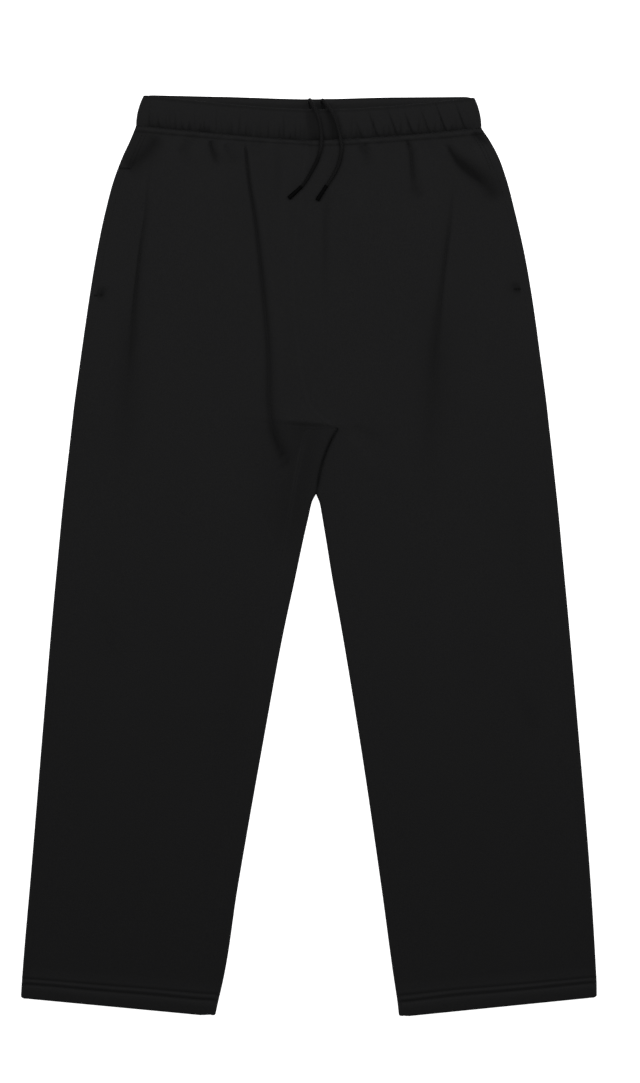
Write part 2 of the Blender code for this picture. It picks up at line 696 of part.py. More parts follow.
def matter(name, colour, roughness):
    material = bpy.data.materials.new(name)
    material.use_nodes = True
    shader = material.node_tree.nodes["Principled BSDF"]
    shader.inputs["Base Color"].default_value = (*colour, 1.0)
    shader.inputs["Roughness"].default_value = roughness
    shader.inputs["Metallic"].default_value = 0.0
    return material


def main():
    for old in list(bpy.data.objects):
        bpy.data.objects.remove(old, do_unlink=True)
    garment = bpy.data.collections.new(COLLECTION)
    bpy.context.scene.collection.children.link(garment)
    finishes = {
        "cloth": (FLEECE, 0.95),
        "cord": (CORD_BLACK, 0.85),
        "tip": (TIP_BLACK, 0.45),
    }
    pieces = [(waistband(), "cloth")]
    for side in (RIGHT, LEFT):
        pieces += [
            (front_panel(side), "cloth"),
            (back_panel(side), "cloth"),
            (pocket_bag(side), "cloth"),
            (drawcord(side), "cord"),
            (cord_tip(side), "tip"),
        ]
    for piece, finish in pieces:
        colour, roughness = finishes[finish]
        piece.data.materials.append(matter(f"{piece.name}_{finish}", colour, roughness))
        garment.objects.link(piece)


main()
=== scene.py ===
"""Looks for a pair of fleece track pants that lie flat, front up.

Metres, +Z up, +Y towards the waist. The wearer's right leg lies at -X and the left leg at +X.
The cloth follows the sections that its solids were made from, with rows and columns closer
together, and each crease, gather, seam and pucker is a soft trough or ridge in it.
"""

import math
import random
from collections import namedtuple

import bpy
import numpy as np
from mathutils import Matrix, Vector, noise


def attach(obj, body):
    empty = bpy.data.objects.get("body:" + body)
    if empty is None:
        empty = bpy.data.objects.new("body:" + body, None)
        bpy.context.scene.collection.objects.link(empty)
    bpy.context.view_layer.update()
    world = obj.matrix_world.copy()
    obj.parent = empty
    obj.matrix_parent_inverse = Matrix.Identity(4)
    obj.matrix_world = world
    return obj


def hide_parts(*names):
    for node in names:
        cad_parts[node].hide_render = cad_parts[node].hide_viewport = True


bl_info = {
    "name": "Track Pants Dresser",
    "version": (1, 0, 0),
    "blender": (4, 5, 0),
    "location": "3D View > Sidebar > Track Pants",
    "description": "Gives a flat pair of fleece track pants its cloth, sewing, drawcord and studio",
    "category": "Object",
}

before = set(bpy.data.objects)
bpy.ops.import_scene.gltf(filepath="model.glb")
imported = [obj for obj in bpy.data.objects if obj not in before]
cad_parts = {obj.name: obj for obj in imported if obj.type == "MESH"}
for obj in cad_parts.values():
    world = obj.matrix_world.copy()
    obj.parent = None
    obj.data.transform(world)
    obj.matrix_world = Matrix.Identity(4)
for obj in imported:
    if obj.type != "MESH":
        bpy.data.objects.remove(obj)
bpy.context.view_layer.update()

RIGHT, LEFT = -1, 1
SIDE_NAMES = {RIGHT: "right", LEFT: "left"}

# Gaps and how the cloth lies, as in the solids
SEAM_GAP = 0.00003
TIP_GAP = 0.0003
WAIST_GAP = 0.0005
SIDE_WRAP = 0.009
FOLD_RADIUS = 0.0041
WIDE_FOLD_RADIUS = 0.0046
SHOULDER = 0.014
LEG_HEIGHT = 0.0064
PELVIS_HEIGHT = 0.0093
WAIST_HEIGHT = 0.0096
HEM_STACK = 0.0092
HEM_UNDER_Z = 0.0045
BACK_TOP_Z = 0.0026
THIN_WALL = 0.0009
WRAP_BEND = 0.08
# From where to where up the garment it gets thicker, towards the hips and towards the waist
HIP_RISE = (0.0, 0.26)
WAIST_RISE = (0.42, 0.47)
WIDE_FOLD_RISE = (0.42, 0.48)

# Waistband
BAND_CENTRE_Y = 0.4783
BAND_RISE = {RIGHT: 0.0174, LEFT: 0.0148}
BACK_CENTRE_Y = 0.4920
BAND_HEIGHT = 0.0345
BAND_STACK = 0.0118
BAND_BULGE = 0.0012
BAND_EDGE = 0.0016
BAND_TUCK = 0.00045
BAND_EDGE_WAVE = 0.0005
BAND_ROW_CROWDING = 0.7
BAND_ROOM = 0.0004
BAND_THINNEST = 0.0012
# Painted shade on the band: a dotted dark line of stitches and their groove below its upper edge,
# shade at its puckers scaled by BAND_SHADE, and shade inside its back, stronger at the back's upper
# edge
BAND_LINE = 0.0022
BAND_LINE_WIDTH = 0.0012
BAND_LINE_SHADE = 0.40
BAND_SHADE = 1.9
BACK_SHADE = (0.12, 0.67)
BACK_PUCKER_SHARE = 0.6
BAND_STITCH = 0.0031
BAND_TOP_PROFILE = ((0.0040, 0.0011, -0.0004),)
BAND_RIPPLE = 0.0004
BAND_FINE_RIPPLE = 0.00022
BAND_SEAM_DIP = 0.0019
BAND_SEAM_REACH = 0.0070
BAND_DEEPEST_DIP = 0.0056
BAND_SIDE_CALM = 0.010
BAND_HALF_WIDTH = 0.1987
BACK_SWELL = {RIGHT: 0.0012, LEFT: 0.0018}
BAND_TAPER = {RIGHT: 0.0088, LEFT: 0.0081}
BAND_POWER = {RIGHT: 1.25, LEFT: 1.6}

# Puckers of the band and gathers below it: how far from the middle they go
PUCKER_SPAN = 0.194
GATHER_SPAN = 0.187
PUCKER_FOOT = 0.22
PUCKER_ROUNDING = 0.0003
LONG_PUCKERS_FROM = 0.045
LONG_PUCKER_LEAN = -0.0125

# How far the cords behind the band lift it
CORD_LIFT = 0.0050
CORD_LIFT_REACH = 0.030

# Side pockets
POCKET_GAP = 0.00008
POCKET_TOP_Y = 0.4453
POCKET_BOTTOM_Y = {RIGHT: 0.2993, LEFT: 0.3068}
BAG_TOP_Z = 0.0045
BAG_MIDDLE_Y = 0.335
BAG_HALF_HEIGHT = 0.125
BAG_REACH = 0.1375
BAG_SIDE_BLEND = (-0.030, -0.010)
BAG_END_BLEND = (0.004, 0.016)

# Twin needle lines: how far below the band's seam, and how far above the hem's edge
WAIST_LINES = (0.0004, 0.0064)
HEM_LINES = (0.0174, 0.0240)
POCKET_LINES = (0.0020, 0.0060)
LINE_WIDTH = 0.0013
# How far off the places are that give a thread its direction, along it and beside it, and how
# high it stands in its own thickness
THREAD_SPAN = 0.0004
THREAD_SIDE = 0.0005
THREAD_RISE = 0.10
HEM_TOP = 0.0262
HEM_CORNER = 0.0034
HEM_FADE = 0.003
CROTCH_BOW = 0.0044
CROTCH_BOW_WIDTH = 0.013
CROTCH_CORNER_REACH = 0.0012
FORK_BLEND = 0.03

# How sewing shapes the cloth; the same heights also paint shade into its dips and highlight onto
# its rises. A profile's rows are a place beside the seam or line, a width, and a height or a share
# of one.
RISE_RELIEF = (0.0001, 0.0002)
RISE_RELIEF_CHANGE = (0.60, 0.90)
RISE_PROFILE = ((-0.0012, 0.0024, 1.0), (0.0024, 0.0009, -0.4), (-0.0048, 0.0009, -0.4))
INSEAM_RELIEF = {RIGHT: 0.0002, LEFT: 0.00005}
INSEAM_PROFILE = ((0.0016, 0.0012, 1.0), (0.0, 0.0006, -0.5))
POCKET_LINE_DEPTH = 0.00015
POCKET_LINE_BLEND = 0.004
POCKET_PROFILE = tuple((line, LINE_WIDTH * 0.7, -1.0) for line in POCKET_LINES)
WAIST_PROFILE = ((sum(WAIST_LINES) / 2, 0.0016, 0.0004), (WAIST_LINES[1] + 0.0032, 0.0016, 0.0001))
HEM_PROFILE = ((sum(HEM_LINES) / 2, 0.0017, 0.0012),)
WAIST_WANDER, HEM_WANDER = 0.0004, 0.0012
WAIST_LINE_DEPTH = 0.0005
HEM_LINE_DEPTHS = (0.0005, 0.0004)
NEEDLE_ROUNDING = 0.0004
HEM_SWELL = 0.0010
HEM_SWELL_DROP = 0.0029
HEM_SWELL_WIDTHS = (0.0014, 0.0042)
HEM_EDGE_DROP = 0.0002
HEM_EDGE_ZONE = 0.006

# How close rows and columns lie, and how many cells go across each stretch
SEWN_STEP = 0.0009
HIP_STEP = 0.0026
PELVIS_STEP = 0.0052
LEG_STEP = 0.0090
CREST_ROWS = 14
CREST_ZONE = (0.0160, 0.0260)
WAIST_ZONE = 0.0110
HIP_Y = 0.3950
HEM_ZONE = 0.0290
SEAM_ZONE = 0.0070
FRONT_CELLS = 184
TURN_CELLS = 10
SIDE_CELLS = 6
UNDER_CELLS = 44
WRAP_CELLS = 14
ROLL_CELLS = 4
RUN_STEP = 0.008

# The depth of a crease at which the shade painted into the cloth's colour is full, how much more
# painted shade and highlight sewing gives, and the fullest painted highlight on a ridge
SHADED_DEPTH = 0.0120
SEWING_SHADE = 9.0
FULLEST_RIDGE = -0.5
# How far off a crease is still felt, and the place and width of its swell, in its own widths
CREASE_REACH = 6.0
SWELL_PLACE = 3.4
SWELL_WIDTH = 1.8
# Creases with a sharper edge than this draw the columns together, by how much and how far off
SHARP_EDGE = 0.0006
CROWDING = 3.5
CROWDING_REACH = 0.006
SEAM_CROWDING = 1.5

# A section of the hips starts at the outer edge of either side and ends on top at the rise seam
# and below at the centre-back seam. One of a leg ends at its inner edge and at the inseam.
PelvisSection = namedtuple("PelvisSection", "outer_y right_x left_x rise_x rise_y back_x back_y")
LegSection = namedtuple("LegSection", "outer_y outer_x edge_x edge_y seam_x seam_y turn",
                        defaults=(1.0,))
Crease = namedtuple("Crease", "name depth right left edge swell spread start_fade end_fade "
                              "points shade", defaults=(1.0,))
Rows = namedtuple("Rows", "outer top_end under_end turn power")
Bar = namedtuple("Bar", "name side x y length")

WAIST_Y = {side: BAND_CENTRE_Y + rise - WAIST_GAP for side, rise in BAND_RISE.items()}
WAISTS = {
    side: PelvisSection(height, -0.1987, 0.1987, 0.0, BAND_CENTRE_Y - WAIST_GAP, 0.0,
                        BACK_CENTRE_Y - WAIST_GAP)
    for side, height in WAIST_Y.items()
}

PELVIS = tuple(PelvisSection(*row) for row in (
    (0.4787, -0.2055, 0.2081, -0.0014, 0.4649, 0.0003, 0.4764),
    (0.4614, -0.2136, 0.2175, -0.0037, 0.4442, 0.0003, 0.4580),
    (0.4350, -0.2238, 0.2272, -0.0078, 0.4120, 0.0003, 0.4304),
    (0.3982, -0.2338, 0.2369, -0.0124, 0.3752, 0.0003, 0.3924),
    (0.3522, -0.2435, 0.2475, -0.0164, 0.3349, 0.0009, 0.3464),
    (0.3062, -0.2513, 0.2558, -0.0170, 0.2947, 0.0014, 0.2947),
    (0.2659, -0.2573, 0.2618, -0.0135, 0.2602, 0.0026, 0.2429),
    (0.2314, -0.2622, 0.2664, -0.0089, 0.2234, 0.0037, 0.1912),
    (0.2004, -0.2665, 0.2706, -0.0032, 0.1900, 0.0049, 0.1452),
    (0.1739, -0.2701, 0.2740, 0.0072, 0.1676, 0.0066, 0.1084),
    (0.1521, -0.2726, 0.2764, 0.0336, 0.1475, 0.0083, 0.0716),
))

LEGS = {side: tuple(LegSection(*row) for row in rows) for side, rows in {
    RIGHT: (
        (0.1245, -0.2757, 0.0037, 0.0624, -0.0003, 0.1429),
        (0.0934, -0.2793, -0.0003, 0.0451, -0.0101, 0.1130),
        (0.0532, -0.2837, -0.0066, 0.0175, -0.0198, 0.0635),
        (0.0072, -0.2881, -0.0158, -0.0262, -0.0302, 0.0072),
        (-0.0503, -0.2935, -0.0273, -0.0791, -0.0423, -0.0561),
        (-0.1998, -0.3062, -0.0538, -0.2217, -0.0716, -0.2171),
        (-0.3608, -0.3195, -0.0814, -0.3792, -0.0980, -0.3769),
        (-0.4820, -0.3298, -0.1015, -0.5013, -0.1176, -0.4996),
        (-0.4877, -0.3302, -0.1030, -0.5074, -0.1191, -0.5057),
        (-0.5083, -0.3314, -0.1078, -0.5296, -0.1239, -0.5281),
    ),
    LEFT: (
        (0.1245, 0.2795, 0.0124, 0.0612, 0.0320, 0.1256),
        (0.0934, 0.2829, 0.0152, 0.0463, 0.0305, 0.0934),
        (0.0532, 0.2872, 0.0204, 0.0152, 0.0305, 0.0474),
        (0.0072, 0.2915, 0.0267, -0.0239, 0.0362, -0.0101),
        (-0.0503, 0.2970, 0.0359, -0.0745, 0.0451, -0.0676),
        (-0.1998, 0.3102, 0.0607, -0.2251, 0.0704, -0.2217),
        (-0.3608, 0.3235, 0.0837, -0.3826, 0.0940, -0.3809),
        (-0.4809, 0.3309, 0.1003, -0.5020, 0.1107, -0.5005),
        (-0.4868, 0.3312, 0.1013, -0.5083, 0.1117, -0.5072),
        (-0.5072, 0.3315, 0.1038, -0.5302, 0.1142, -0.5292),
    ),
}.items()}

# Creases of the front. Each has its own width on the right and on the left of its run and is
# rounded over its edge. The cloth swells beyond its left side, and it spreads towards its end.
# A negative depth is a ridge. A fade is a share of the run's length. The last number, where there
# is one, scales the painted shade along a crease and the painted highlight along a ridge.
CREASES = tuple(Crease(*row) for row in (
    ("side crease right", 0.0036, 0.0005, 0.0019, 0.0004, 0.0003, 2.4, 0.62, 0.25,
     ((-0.1762, 0.4821), (-0.1843, 0.4419), (-0.1875, 0.3959), (-0.1931, 0.3591),
      (-0.1999, 0.3004), (-0.206, 0.23), (-0.21, 0.185)), 1.5),
    ("side band right", 0.0032, 0.008, 0.011, 0.004, 0.0003, 1.1, 0.35, 0.6,
     ((-0.199, 0.33), (-0.209, 0.2257), (-0.2136, 0.1107), (-0.216, 0.04))),
    ("side crease left", 0.0034, 0.0026, 0.0012, 0.0004, 0.0004, 1.8, 0.4, 0.25,
     ((0.167, 0.4499), (0.1636, 0.3959), (0.1555, 0.3303), (0.1498, 0.2786), (0.145, 0.23),
      (0.1425, 0.185)), 1.1),
    ("side band left", 0.0034, 0.008, 0.012, 0.004, 0.0003, 1.1, 0.35, 0.6,
     ((0.152, 0.32), (0.1452, 0.2257), (0.14, 0.1567), (0.136, 0.0957), (0.14, 0.03))),
    ("centre crease right", 0.0046, 0.0009, 0.0012, 0.0004, 0.0006, 3.8, 0.04, 0.06,
     ((-0.0744, 0.4775), (-0.073, 0.469), (-0.0685, 0.4281), (-0.0598, 0.3717), (-0.0474, 0.2487),
      (-0.0457, 0.1797), (-0.0415, 0.144), (-0.032, 0.12), (-0.02, 0.102)), 0.9),
    ("foot of the centre crease", 0.0012, 0.0026, 0.0036, 0.0008, 0.0, 1.4, 0.4, 0.15,
     ((-0.043, 0.162), (-0.0415, 0.144), (-0.032, 0.12), (-0.021, 0.104)), 4.6),
    ("hip fold left", 0.0034, 0.0016, 0.0026, 0.0005, 0.0008, 1.8, 0.12, 0.45,
     ((0.1582, 0.4752), (0.1635, 0.4645), (0.1715, 0.453), (0.1816, 0.444), (0.195, 0.4335),
      (0.208, 0.418)), 2.6),
    ("hip hollow left", 0.0036, 0.0038, 0.0068, 0.002, 0.0012, 1.5, 0.3, 0.22,
     ((0.164, 0.468), (0.1735, 0.4535), (0.184, 0.443), (0.204, 0.427), (0.219, 0.403)), 2.2),
    ("short fold left", 0.004, 0.0024, 0.0032, 0.0008, 0.0006, 1.6, 0.2, 0.35,
     ((0.188, 0.489), (0.195, 0.4815), (0.2085, 0.4715)), 1.6),
    ("hip hollow right", 0.0042, 0.007, 0.006, 0.0016, 0.0006, 1.3, 0.2, 0.15,
     ((-0.1734, 0.486), (-0.179, 0.474), (-0.188, 0.462), (-0.204, 0.45), (-0.213, 0.4453)), 1.9),
    ("gather right", 0.004, 0.0015, 0.0024, 0.0004, 0.0006, 1.7, 0.08, 0.45,
     ((-0.1135, 0.478), (-0.1118, 0.468), (-0.108, 0.457), (-0.1021, 0.445)), 1.4),
    ("gather left", 0.0042, 0.0014, 0.0022, 0.0004, 0.0006, 2.0, 0.1, 0.35,
     ((0.112, 0.479), (0.1172, 0.464), (0.1192, 0.44), (0.1222, 0.416)), 1.3),
    ("gather left hollow", 0.003, 0.004, 0.005, 0.002, 0.0, 1.0, 0.4, 0.3,
     ((0.119, 0.429), (0.124, 0.416), (0.133, 0.412))),
    ("gather right of centre", 0.0014, 0.0022, 0.0036, 0.0008, 0.0004, 1.3, 0.15, 0.4,
     ((-0.0365, 0.472), (-0.0365, 0.3924))),
    ("gather left of centre", 0.0026, 0.0016, 0.003, 0.0006, 0.0005, 1.5, 0.15, 0.5,
     ((0.065, 0.476), (0.0655, 0.462), (0.067, 0.442)), 1.2),
    ("fold by the gather left of centre", 0.0022, 0.0018, 0.0026, 0.0006, 0.0, 1.3, 0.2, 0.3,
     ((0.059, 0.472), (0.063, 0.464), (0.0655, 0.461)), 1.3),
    ("outer gather right", 0.002, 0.0022, 0.0036, 0.0008, 0.0003, 1.5, 0.2, 0.6,
     ((-0.138, 0.48), (-0.144, 0.47), (-0.1515, 0.456))),
    ("inner gather right", 0.0014, 0.0024, 0.0036, 0.001, 0.0003, 1.3, 0.2, 0.5,
     ((-0.1435, 0.472), (-0.143, 0.445))),
    ("second gather right", 0.0024, 0.0018, 0.003, 0.0008, 0.0002, 1.5, 0.2, 0.5,
     ((-0.098, 0.474), (-0.093, 0.464), (-0.09, 0.456)), 1.2),
    ("third gather right", 0.002, 0.004, 0.004, 0.0012, 0.0, 1.3, 0.3, 0.5,
     ((-0.088, 0.464), (-0.087, 0.445))),
    ("fall from the cord", 0.0018, 0.0016, 0.0026, 0.0008, 0.0002, 1.4, 0.15, 0.6,
     ((0.0215, 0.42), (0.0184, 0.37), (0.0187, 0.265)), 1.4),
    ("fall right of centre", -0.001, 0.0036, 0.004, 0.002, 0.0, 1.5, 0.3, 0.5,
     ((-0.0308, 0.446), (-0.0312, 0.34))),
    ("fall right", -0.0009, 0.005, 0.005, 0.003, 0.0, 1.5, 0.3, 0.5,
     ((-0.1113, 0.444), (-0.1032, 0.405))),
    ("fall left of centre", -0.001, 0.0036, 0.004, 0.002, 0.0, 1.5, 0.3, 0.5,
     ((0.0578, 0.426), (0.0578, 0.378))),
    ("hip swell left", -0.0014, 0.009, 0.01, 0.008, 0.0, 1.0, 0.4, 0.4,
     ((0.185, 0.474), (0.2, 0.459), (0.214, 0.445))),
    ("dimple of the right pocket", 0.003, 0.0022, 0.0034, 0.0008, 0.0, 1.8, 0.1, 0.6,
     ((-0.2445, 0.299), (-0.2385, 0.3), (-0.237, 0.306), (-0.2375, 0.312)), 3.6),
    ("dimple of the left pocket", 0.003, 0.003, 0.0024, 0.0008, 0.0, 1.8, 0.1, 0.6,
     ((0.244, 0.306), (0.2385, 0.3065), (0.2355, 0.311), (0.235, 0.317)), 3.0),
    ("crotch crest", -0.0008, 0.005, 0.014, 0.003, 0.0, 1.0, 0.2, 0.1,
     ((-0.037, 0.156), (-0.018, 0.157), (0.006, 0.156), (0.0336, 0.149)), 1.6),
    ("fold of the crotch crest", 0.0005, 0.03, 0.0012, 0.0014, 0.0, 1.0, 0.12, 0.04,
     ((-0.04, 0.156), (-0.025, 0.154), (-0.003, 0.1535), (0.016, 0.15), (0.034, 0.1458)), 1.2),
    ("crotch hollow", 0.0028, 0.024, 0.017, 0.01, 0.0, 1.0, 0.03, 0.45,
     ((-0.002, 0.1545), (-0.004, 0.13), (-0.008, 0.095), (-0.015, 0.06), (-0.027, 0.015),
      (-0.034, -0.025)), 1.5),
    ("crotch fold", 0.0034, 0.0012, 0.0012, 0.0004, 0.0, 1.0, 0.03, 0.02,
     ((0.0336, 0.1475), (0.0285, 0.1387), (0.024, 0.1296), (0.0201, 0.1204), (0.0168, 0.1109),
      (0.014, 0.1013), (0.0118, 0.0915), (0.0102, 0.0815), (0.0083, 0.0716)), 4.0),
    ("swell of the right inseam", -0.0006, 0.0012, 0.0022, 0.0006, 0.0, 1.2, 0.06, 0.7,
     ((0.0025, 0.1555), (-0.004, 0.136), (-0.0116, 0.1147), (-0.0214, 0.0528),
      (-0.033, -0.006)), 5.0),
    ("pull from the crotch", -0.001, 0.0036, 0.0044, 0.002, 0.0, 1.6, 0.2, 0.5,
     ((0.038, 0.144), (0.0497, 0.1302), (0.067, 0.1141), (0.0796, 0.0888))),
    ("second pull from the crotch", 0.0012, 0.004, 0.005, 0.002, 0.0, 1.6, 0.2, 0.5,
     ((0.045, 0.15), (0.07, 0.14), (0.095, 0.12))),
    ("drag at the knee left", 0.0012, 0.005, 0.008, 0.002, 0.0002, 1.0, 0.4, 0.4,
     ((0.233, -0.142), (0.2429, -0.1653), (0.2544, -0.1883), (0.262, -0.22))),
    ("drag at the knee right", 0.001, 0.007, 0.01, 0.004, 0.0002, 1.0, 0.4, 0.4,
     ((-0.25, -0.04), (-0.23, -0.09), (-0.22, -0.15))),
    ("inner leg fall right", 0.0009, 0.012, 0.015, 0.006, 0.0, 1.0, 0.4, 0.5,
     ((-0.06, -0.05), (-0.085, -0.17), (-0.115, -0.3))),
    ("outer leg fall left", 0.0009, 0.012, 0.016, 0.006, 0.0, 1.0, 0.4, 0.5,
     ((0.235, 0.12), (0.245, 0.0), (0.26, -0.12))),
))

# Creases of the underside, shallow because it rests on the surface. They paint shade into its
# colour too.
UNDER_CREASES = tuple(Crease(*row) for row in (
    ("seat crease right", 0.0007, 0.005, 0.007, 0.002, 0.0, 1.3, 0.2, 0.4,
     ((-0.05, 0.2), (-0.043, 0.12), (-0.052, 0.04))),
    ("seat crease left", 0.0007, 0.005, 0.007, 0.002, 0.0, 1.3, 0.2, 0.4,
     ((0.048, 0.21), (0.056, 0.13), (0.07, 0.05))),
    ("back gather right", 0.0006, 0.004, 0.005, 0.0015, 0.0, 1.5, 0.1, 0.5,
     ((-0.08, 0.483), (-0.076, 0.456))),
    ("back gather left", 0.0006, 0.004, 0.005, 0.0015, 0.0, 1.5, 0.1, 0.5,
     ((0.062, 0.485), (0.06, 0.46))),
    ("calf crease right", 0.0006, 0.007, 0.009, 0.003, 0.0, 1.0, 0.3, 0.4,
     ((-0.21, -0.1), (-0.2, -0.22), (-0.215, -0.33))),
    ("calf crease left", 0.0006, 0.007, 0.009, 0.003, 0.0, 1.0, 0.3, 0.4,
     ((0.18, -0.14), (0.195, -0.24), (0.19, -0.34))),
))

# How far each panel's corner keeps from the point where the seams meet
CROTCH_CORNERS = {
    ("front", RIGHT): np.array((-0.0003, 0.0001)),
    ("front", LEFT): np.array((0.0003, 0.0001)),
    ("back", RIGHT): np.array((-0.0003, -0.0003)),
    ("back", LEFT): np.array((-0.0001, -0.0010)),
}

# The free ends of the drawcord: out from behind the front of the band, over its edge and down
CORD_ROUTES = {
    RIGHT: (
        (0.0040, 0.5030, 0.0075), (0.0037, 0.5085, 0.0073), (0.0030, 0.5140, 0.0073),
        (0.0018, 0.5190, 0.0078), (0.0010, 0.5225, 0.0096), (0.0010, 0.5240, 0.0131),
        (0.0022, 0.5226, 0.0166), (0.0040, 0.5190, 0.0184), (0.0058, 0.5150, 0.0188),
        (0.0090, 0.5087, 0.0186), (0.0122, 0.4995, 0.0178),
        (0.0142, 0.4871, 0.0156), (0.0146, 0.4755, 0.0132), (0.0134, 0.4665, 0.0124),
        (0.0098, 0.4550, 0.0121), (0.0050, 0.4456, 0.0121), (-0.0005, 0.4356, 0.0120),
        (-0.0055, 0.4277, 0.0119), (-0.0083, 0.4246, 0.0119),
    ),
    LEFT: (
        (0.0180, 0.5030, 0.0075), (0.0178, 0.5080, 0.0073), (0.0172, 0.5134, 0.0073),
        (0.0161, 0.5186, 0.0078), (0.0153, 0.5221, 0.0096), (0.0154, 0.5236, 0.0131),
        (0.0171, 0.5224, 0.0166), (0.0196, 0.5192, 0.0184), (0.0225, 0.5153, 0.0188),
        (0.0268, 0.5085, 0.0186), (0.0310, 0.4995, 0.0176),
        (0.0345, 0.4880, 0.0155), (0.0370, 0.4765, 0.0131), (0.0378, 0.4672, 0.0124),
        (0.0360, 0.4560, 0.0122), (0.0325, 0.4456, 0.0121), (0.0272, 0.4358, 0.0120),
        (0.0225, 0.4285, 0.0119), (0.0205, 0.4257, 0.0119),
    ),
}
# The share of its colour that each cord keeps where it starts, as painted shadow where it comes out
# from behind the band, and in its lower part, which is darker, and how thin it is at its tip
CORD_START_SHADOW = 0.55
CORD_TONES = {RIGHT: 0.28, LEFT: 0.70}
CORD_TAPER = 0.84
# Where the band is hollowed beside the cords, which also paints the cords' shadows into its colour:
# at its upper and its lower edge, half width, depth
CORD_HOLLOWS = ((0.0002, 0.0065, 0.0050, 0.0034), (0.0215, 0.0295, 0.0060, 0.0034))
# Where rings are pressed into a tip, as shares of its length
TIP_CRIMPS = (0.15, 0.32)
TIP_AIMS = {RIGHT: (-0.737, -0.676, 0.0), LEFT: (-0.543, -0.840, 0.0)}

# Half the length of a stitch across a bar tack, and how far it leans
TACK_HALF_STITCH = 0.0011
TACK_LEAN = 0.0003
BARS = (
    Bar("top of the right pocket", RIGHT, -0.2113, 0.4453, 0.012),
    Bar("foot of the right pocket", RIGHT, -0.2420, 0.2993, 0.009),
    Bar("foot of the left pocket", LEFT, 0.2398, 0.3068, 0.008),
)

# The studio, with the width of the camera's sensor in millimetres
SENSOR_WIDTH = 36.0
FLOOR_SIZE = 12.0
FLOOR_Z = -0.0004
KEY_PLACE = (0.05, 0.80, 1.50)
KEY_AIM = (0.0, 0.30, 0.0)
KEY_SIZE = (3.0, 0.7)

# The cut sizes of the cloth: width, length and area of each panel
FRONT_CUT = (0.27, 1.03, 0.236)
BACK_CUT = (0.36, 1.06, 0.272)


def ramp(value, start, end):
    """Rise smoothly from 0 at start to 1 at end."""
    share = np.clip((value - start) / (end - start), 0.0, 1.0)
    return share * share * (3.0 - 2.0 * share)


def mix(first, last, share):
    return first + (last - first) * share


def bell(distance, width):
    return np.exp(-((distance / width) ** 2))


def unit(vectors):
    return vectors / np.linalg.norm(vectors, axis=-1)[..., None]


def by_side(x, sizes):
    """The right or the left one of a pair of sizes, by the side of the garment."""
    return np.where(x < 0, sizes[RIGHT], sizes[LEFT])


def lengths_along(run):
    """How far along a run each of its points lies."""
    return np.concatenate(([0.0], np.cumsum(np.linalg.norm(np.diff(run, axis=0), axis=1))))


def waves(values, pitch, second, third):
    """Smooth uneven waves over an array of places along the garment's width."""
    return np.vectorize(lambda value: noise.noise((value * pitch, second, third)))(values)


def soft_greater(first, second, blend=0.0003):
    """The greater of two heights, with the corner between them rounded."""
    return blend * np.logaddexp(first / blend, second / blend)


def smooth_run(points, step=RUN_STEP):
    """A Catmull-Rom curve through points in plan or in space, its places about a step apart."""
    knots = np.array(points, float)
    knots = np.vstack((2 * knots[0] - knots[1], knots, 2 * knots[-1] - knots[-2]))
    places = []
    for before, start, end, after in zip(knots, knots[1:], knots[2:], knots[3:]):
        pieces = max(1, round(np.linalg.norm(end - start) / step))
        for t in np.arange(pieces) / pieces:
            places.append(0.5 * (2 * start + (end - before) * t
                                 + (2 * before - 5 * start + 4 * end - after) * t ** 2
                                 + (3 * start - before - 3 * end + after) * t ** 3))
    return np.array(places + [knots[-2]])


def run_offsets(places, run):
    """Signed distance of places to a run, positive on its left, and their share along it."""
    nearest = np.full(len(places), np.inf)
    signed = np.zeros(len(places))
    along = np.zeros(len(places))
    done = lengths_along(run)
    for start, end, before, length in zip(run, run[1:], done, np.diff(done)):
        step = (end - start) / length
        offset = places - start
        reach = np.clip(offset @ step, 0.0, length)
        offset = offset - reach[:, None] * step
        distance = np.hypot(offset[:, 0], offset[:, 1])
        left = step[0] * offset[:, 1] - step[1] * offset[:, 0]
        nearer = distance < nearest
        nearest[nearer] = distance[nearer]
        signed[nearer] = np.copysign(distance, left)[nearer]
        along[nearer] = (before + reach)[nearer]
    return signed, along / done[-1]


def section_slopes(table):
    """Slope of every column against the first one at each section, from its neighbours."""
    steps = np.diff(table[:, 0])[:, None]
    rises = np.diff(table, axis=0) / steps
    slopes = np.vstack((rises[:1], rises))
    slopes[1:-1] = (rises[:-1] * steps[1:] + rises[1:] * steps[:-1]) / (steps[:-1] + steps[1:])
    return slopes


def sections_at(table, heights):
    """Every column of a table of sections at the given heights, on Hermite curves."""
    slopes = section_slopes(table)
    last = np.clip(np.searchsorted(-table[:, 0], -heights, side="right"), 1, len(table) - 1)
    first = last - 1
    span = (table[last, 0] - table[first, 0])[:, None]
    share = (heights - table[first, 0])[:, None] / span
    bend_in = slopes[first] * share * (1.0 - share) ** 2 * span
    bend_out = slopes[last] * share ** 2 * (1.0 - share) * span
    return mix(table[first], table[last], ramp(share, 0.0, 1.0)) + bend_in - bend_out


FORK_Y = PELVIS[-1].outer_y


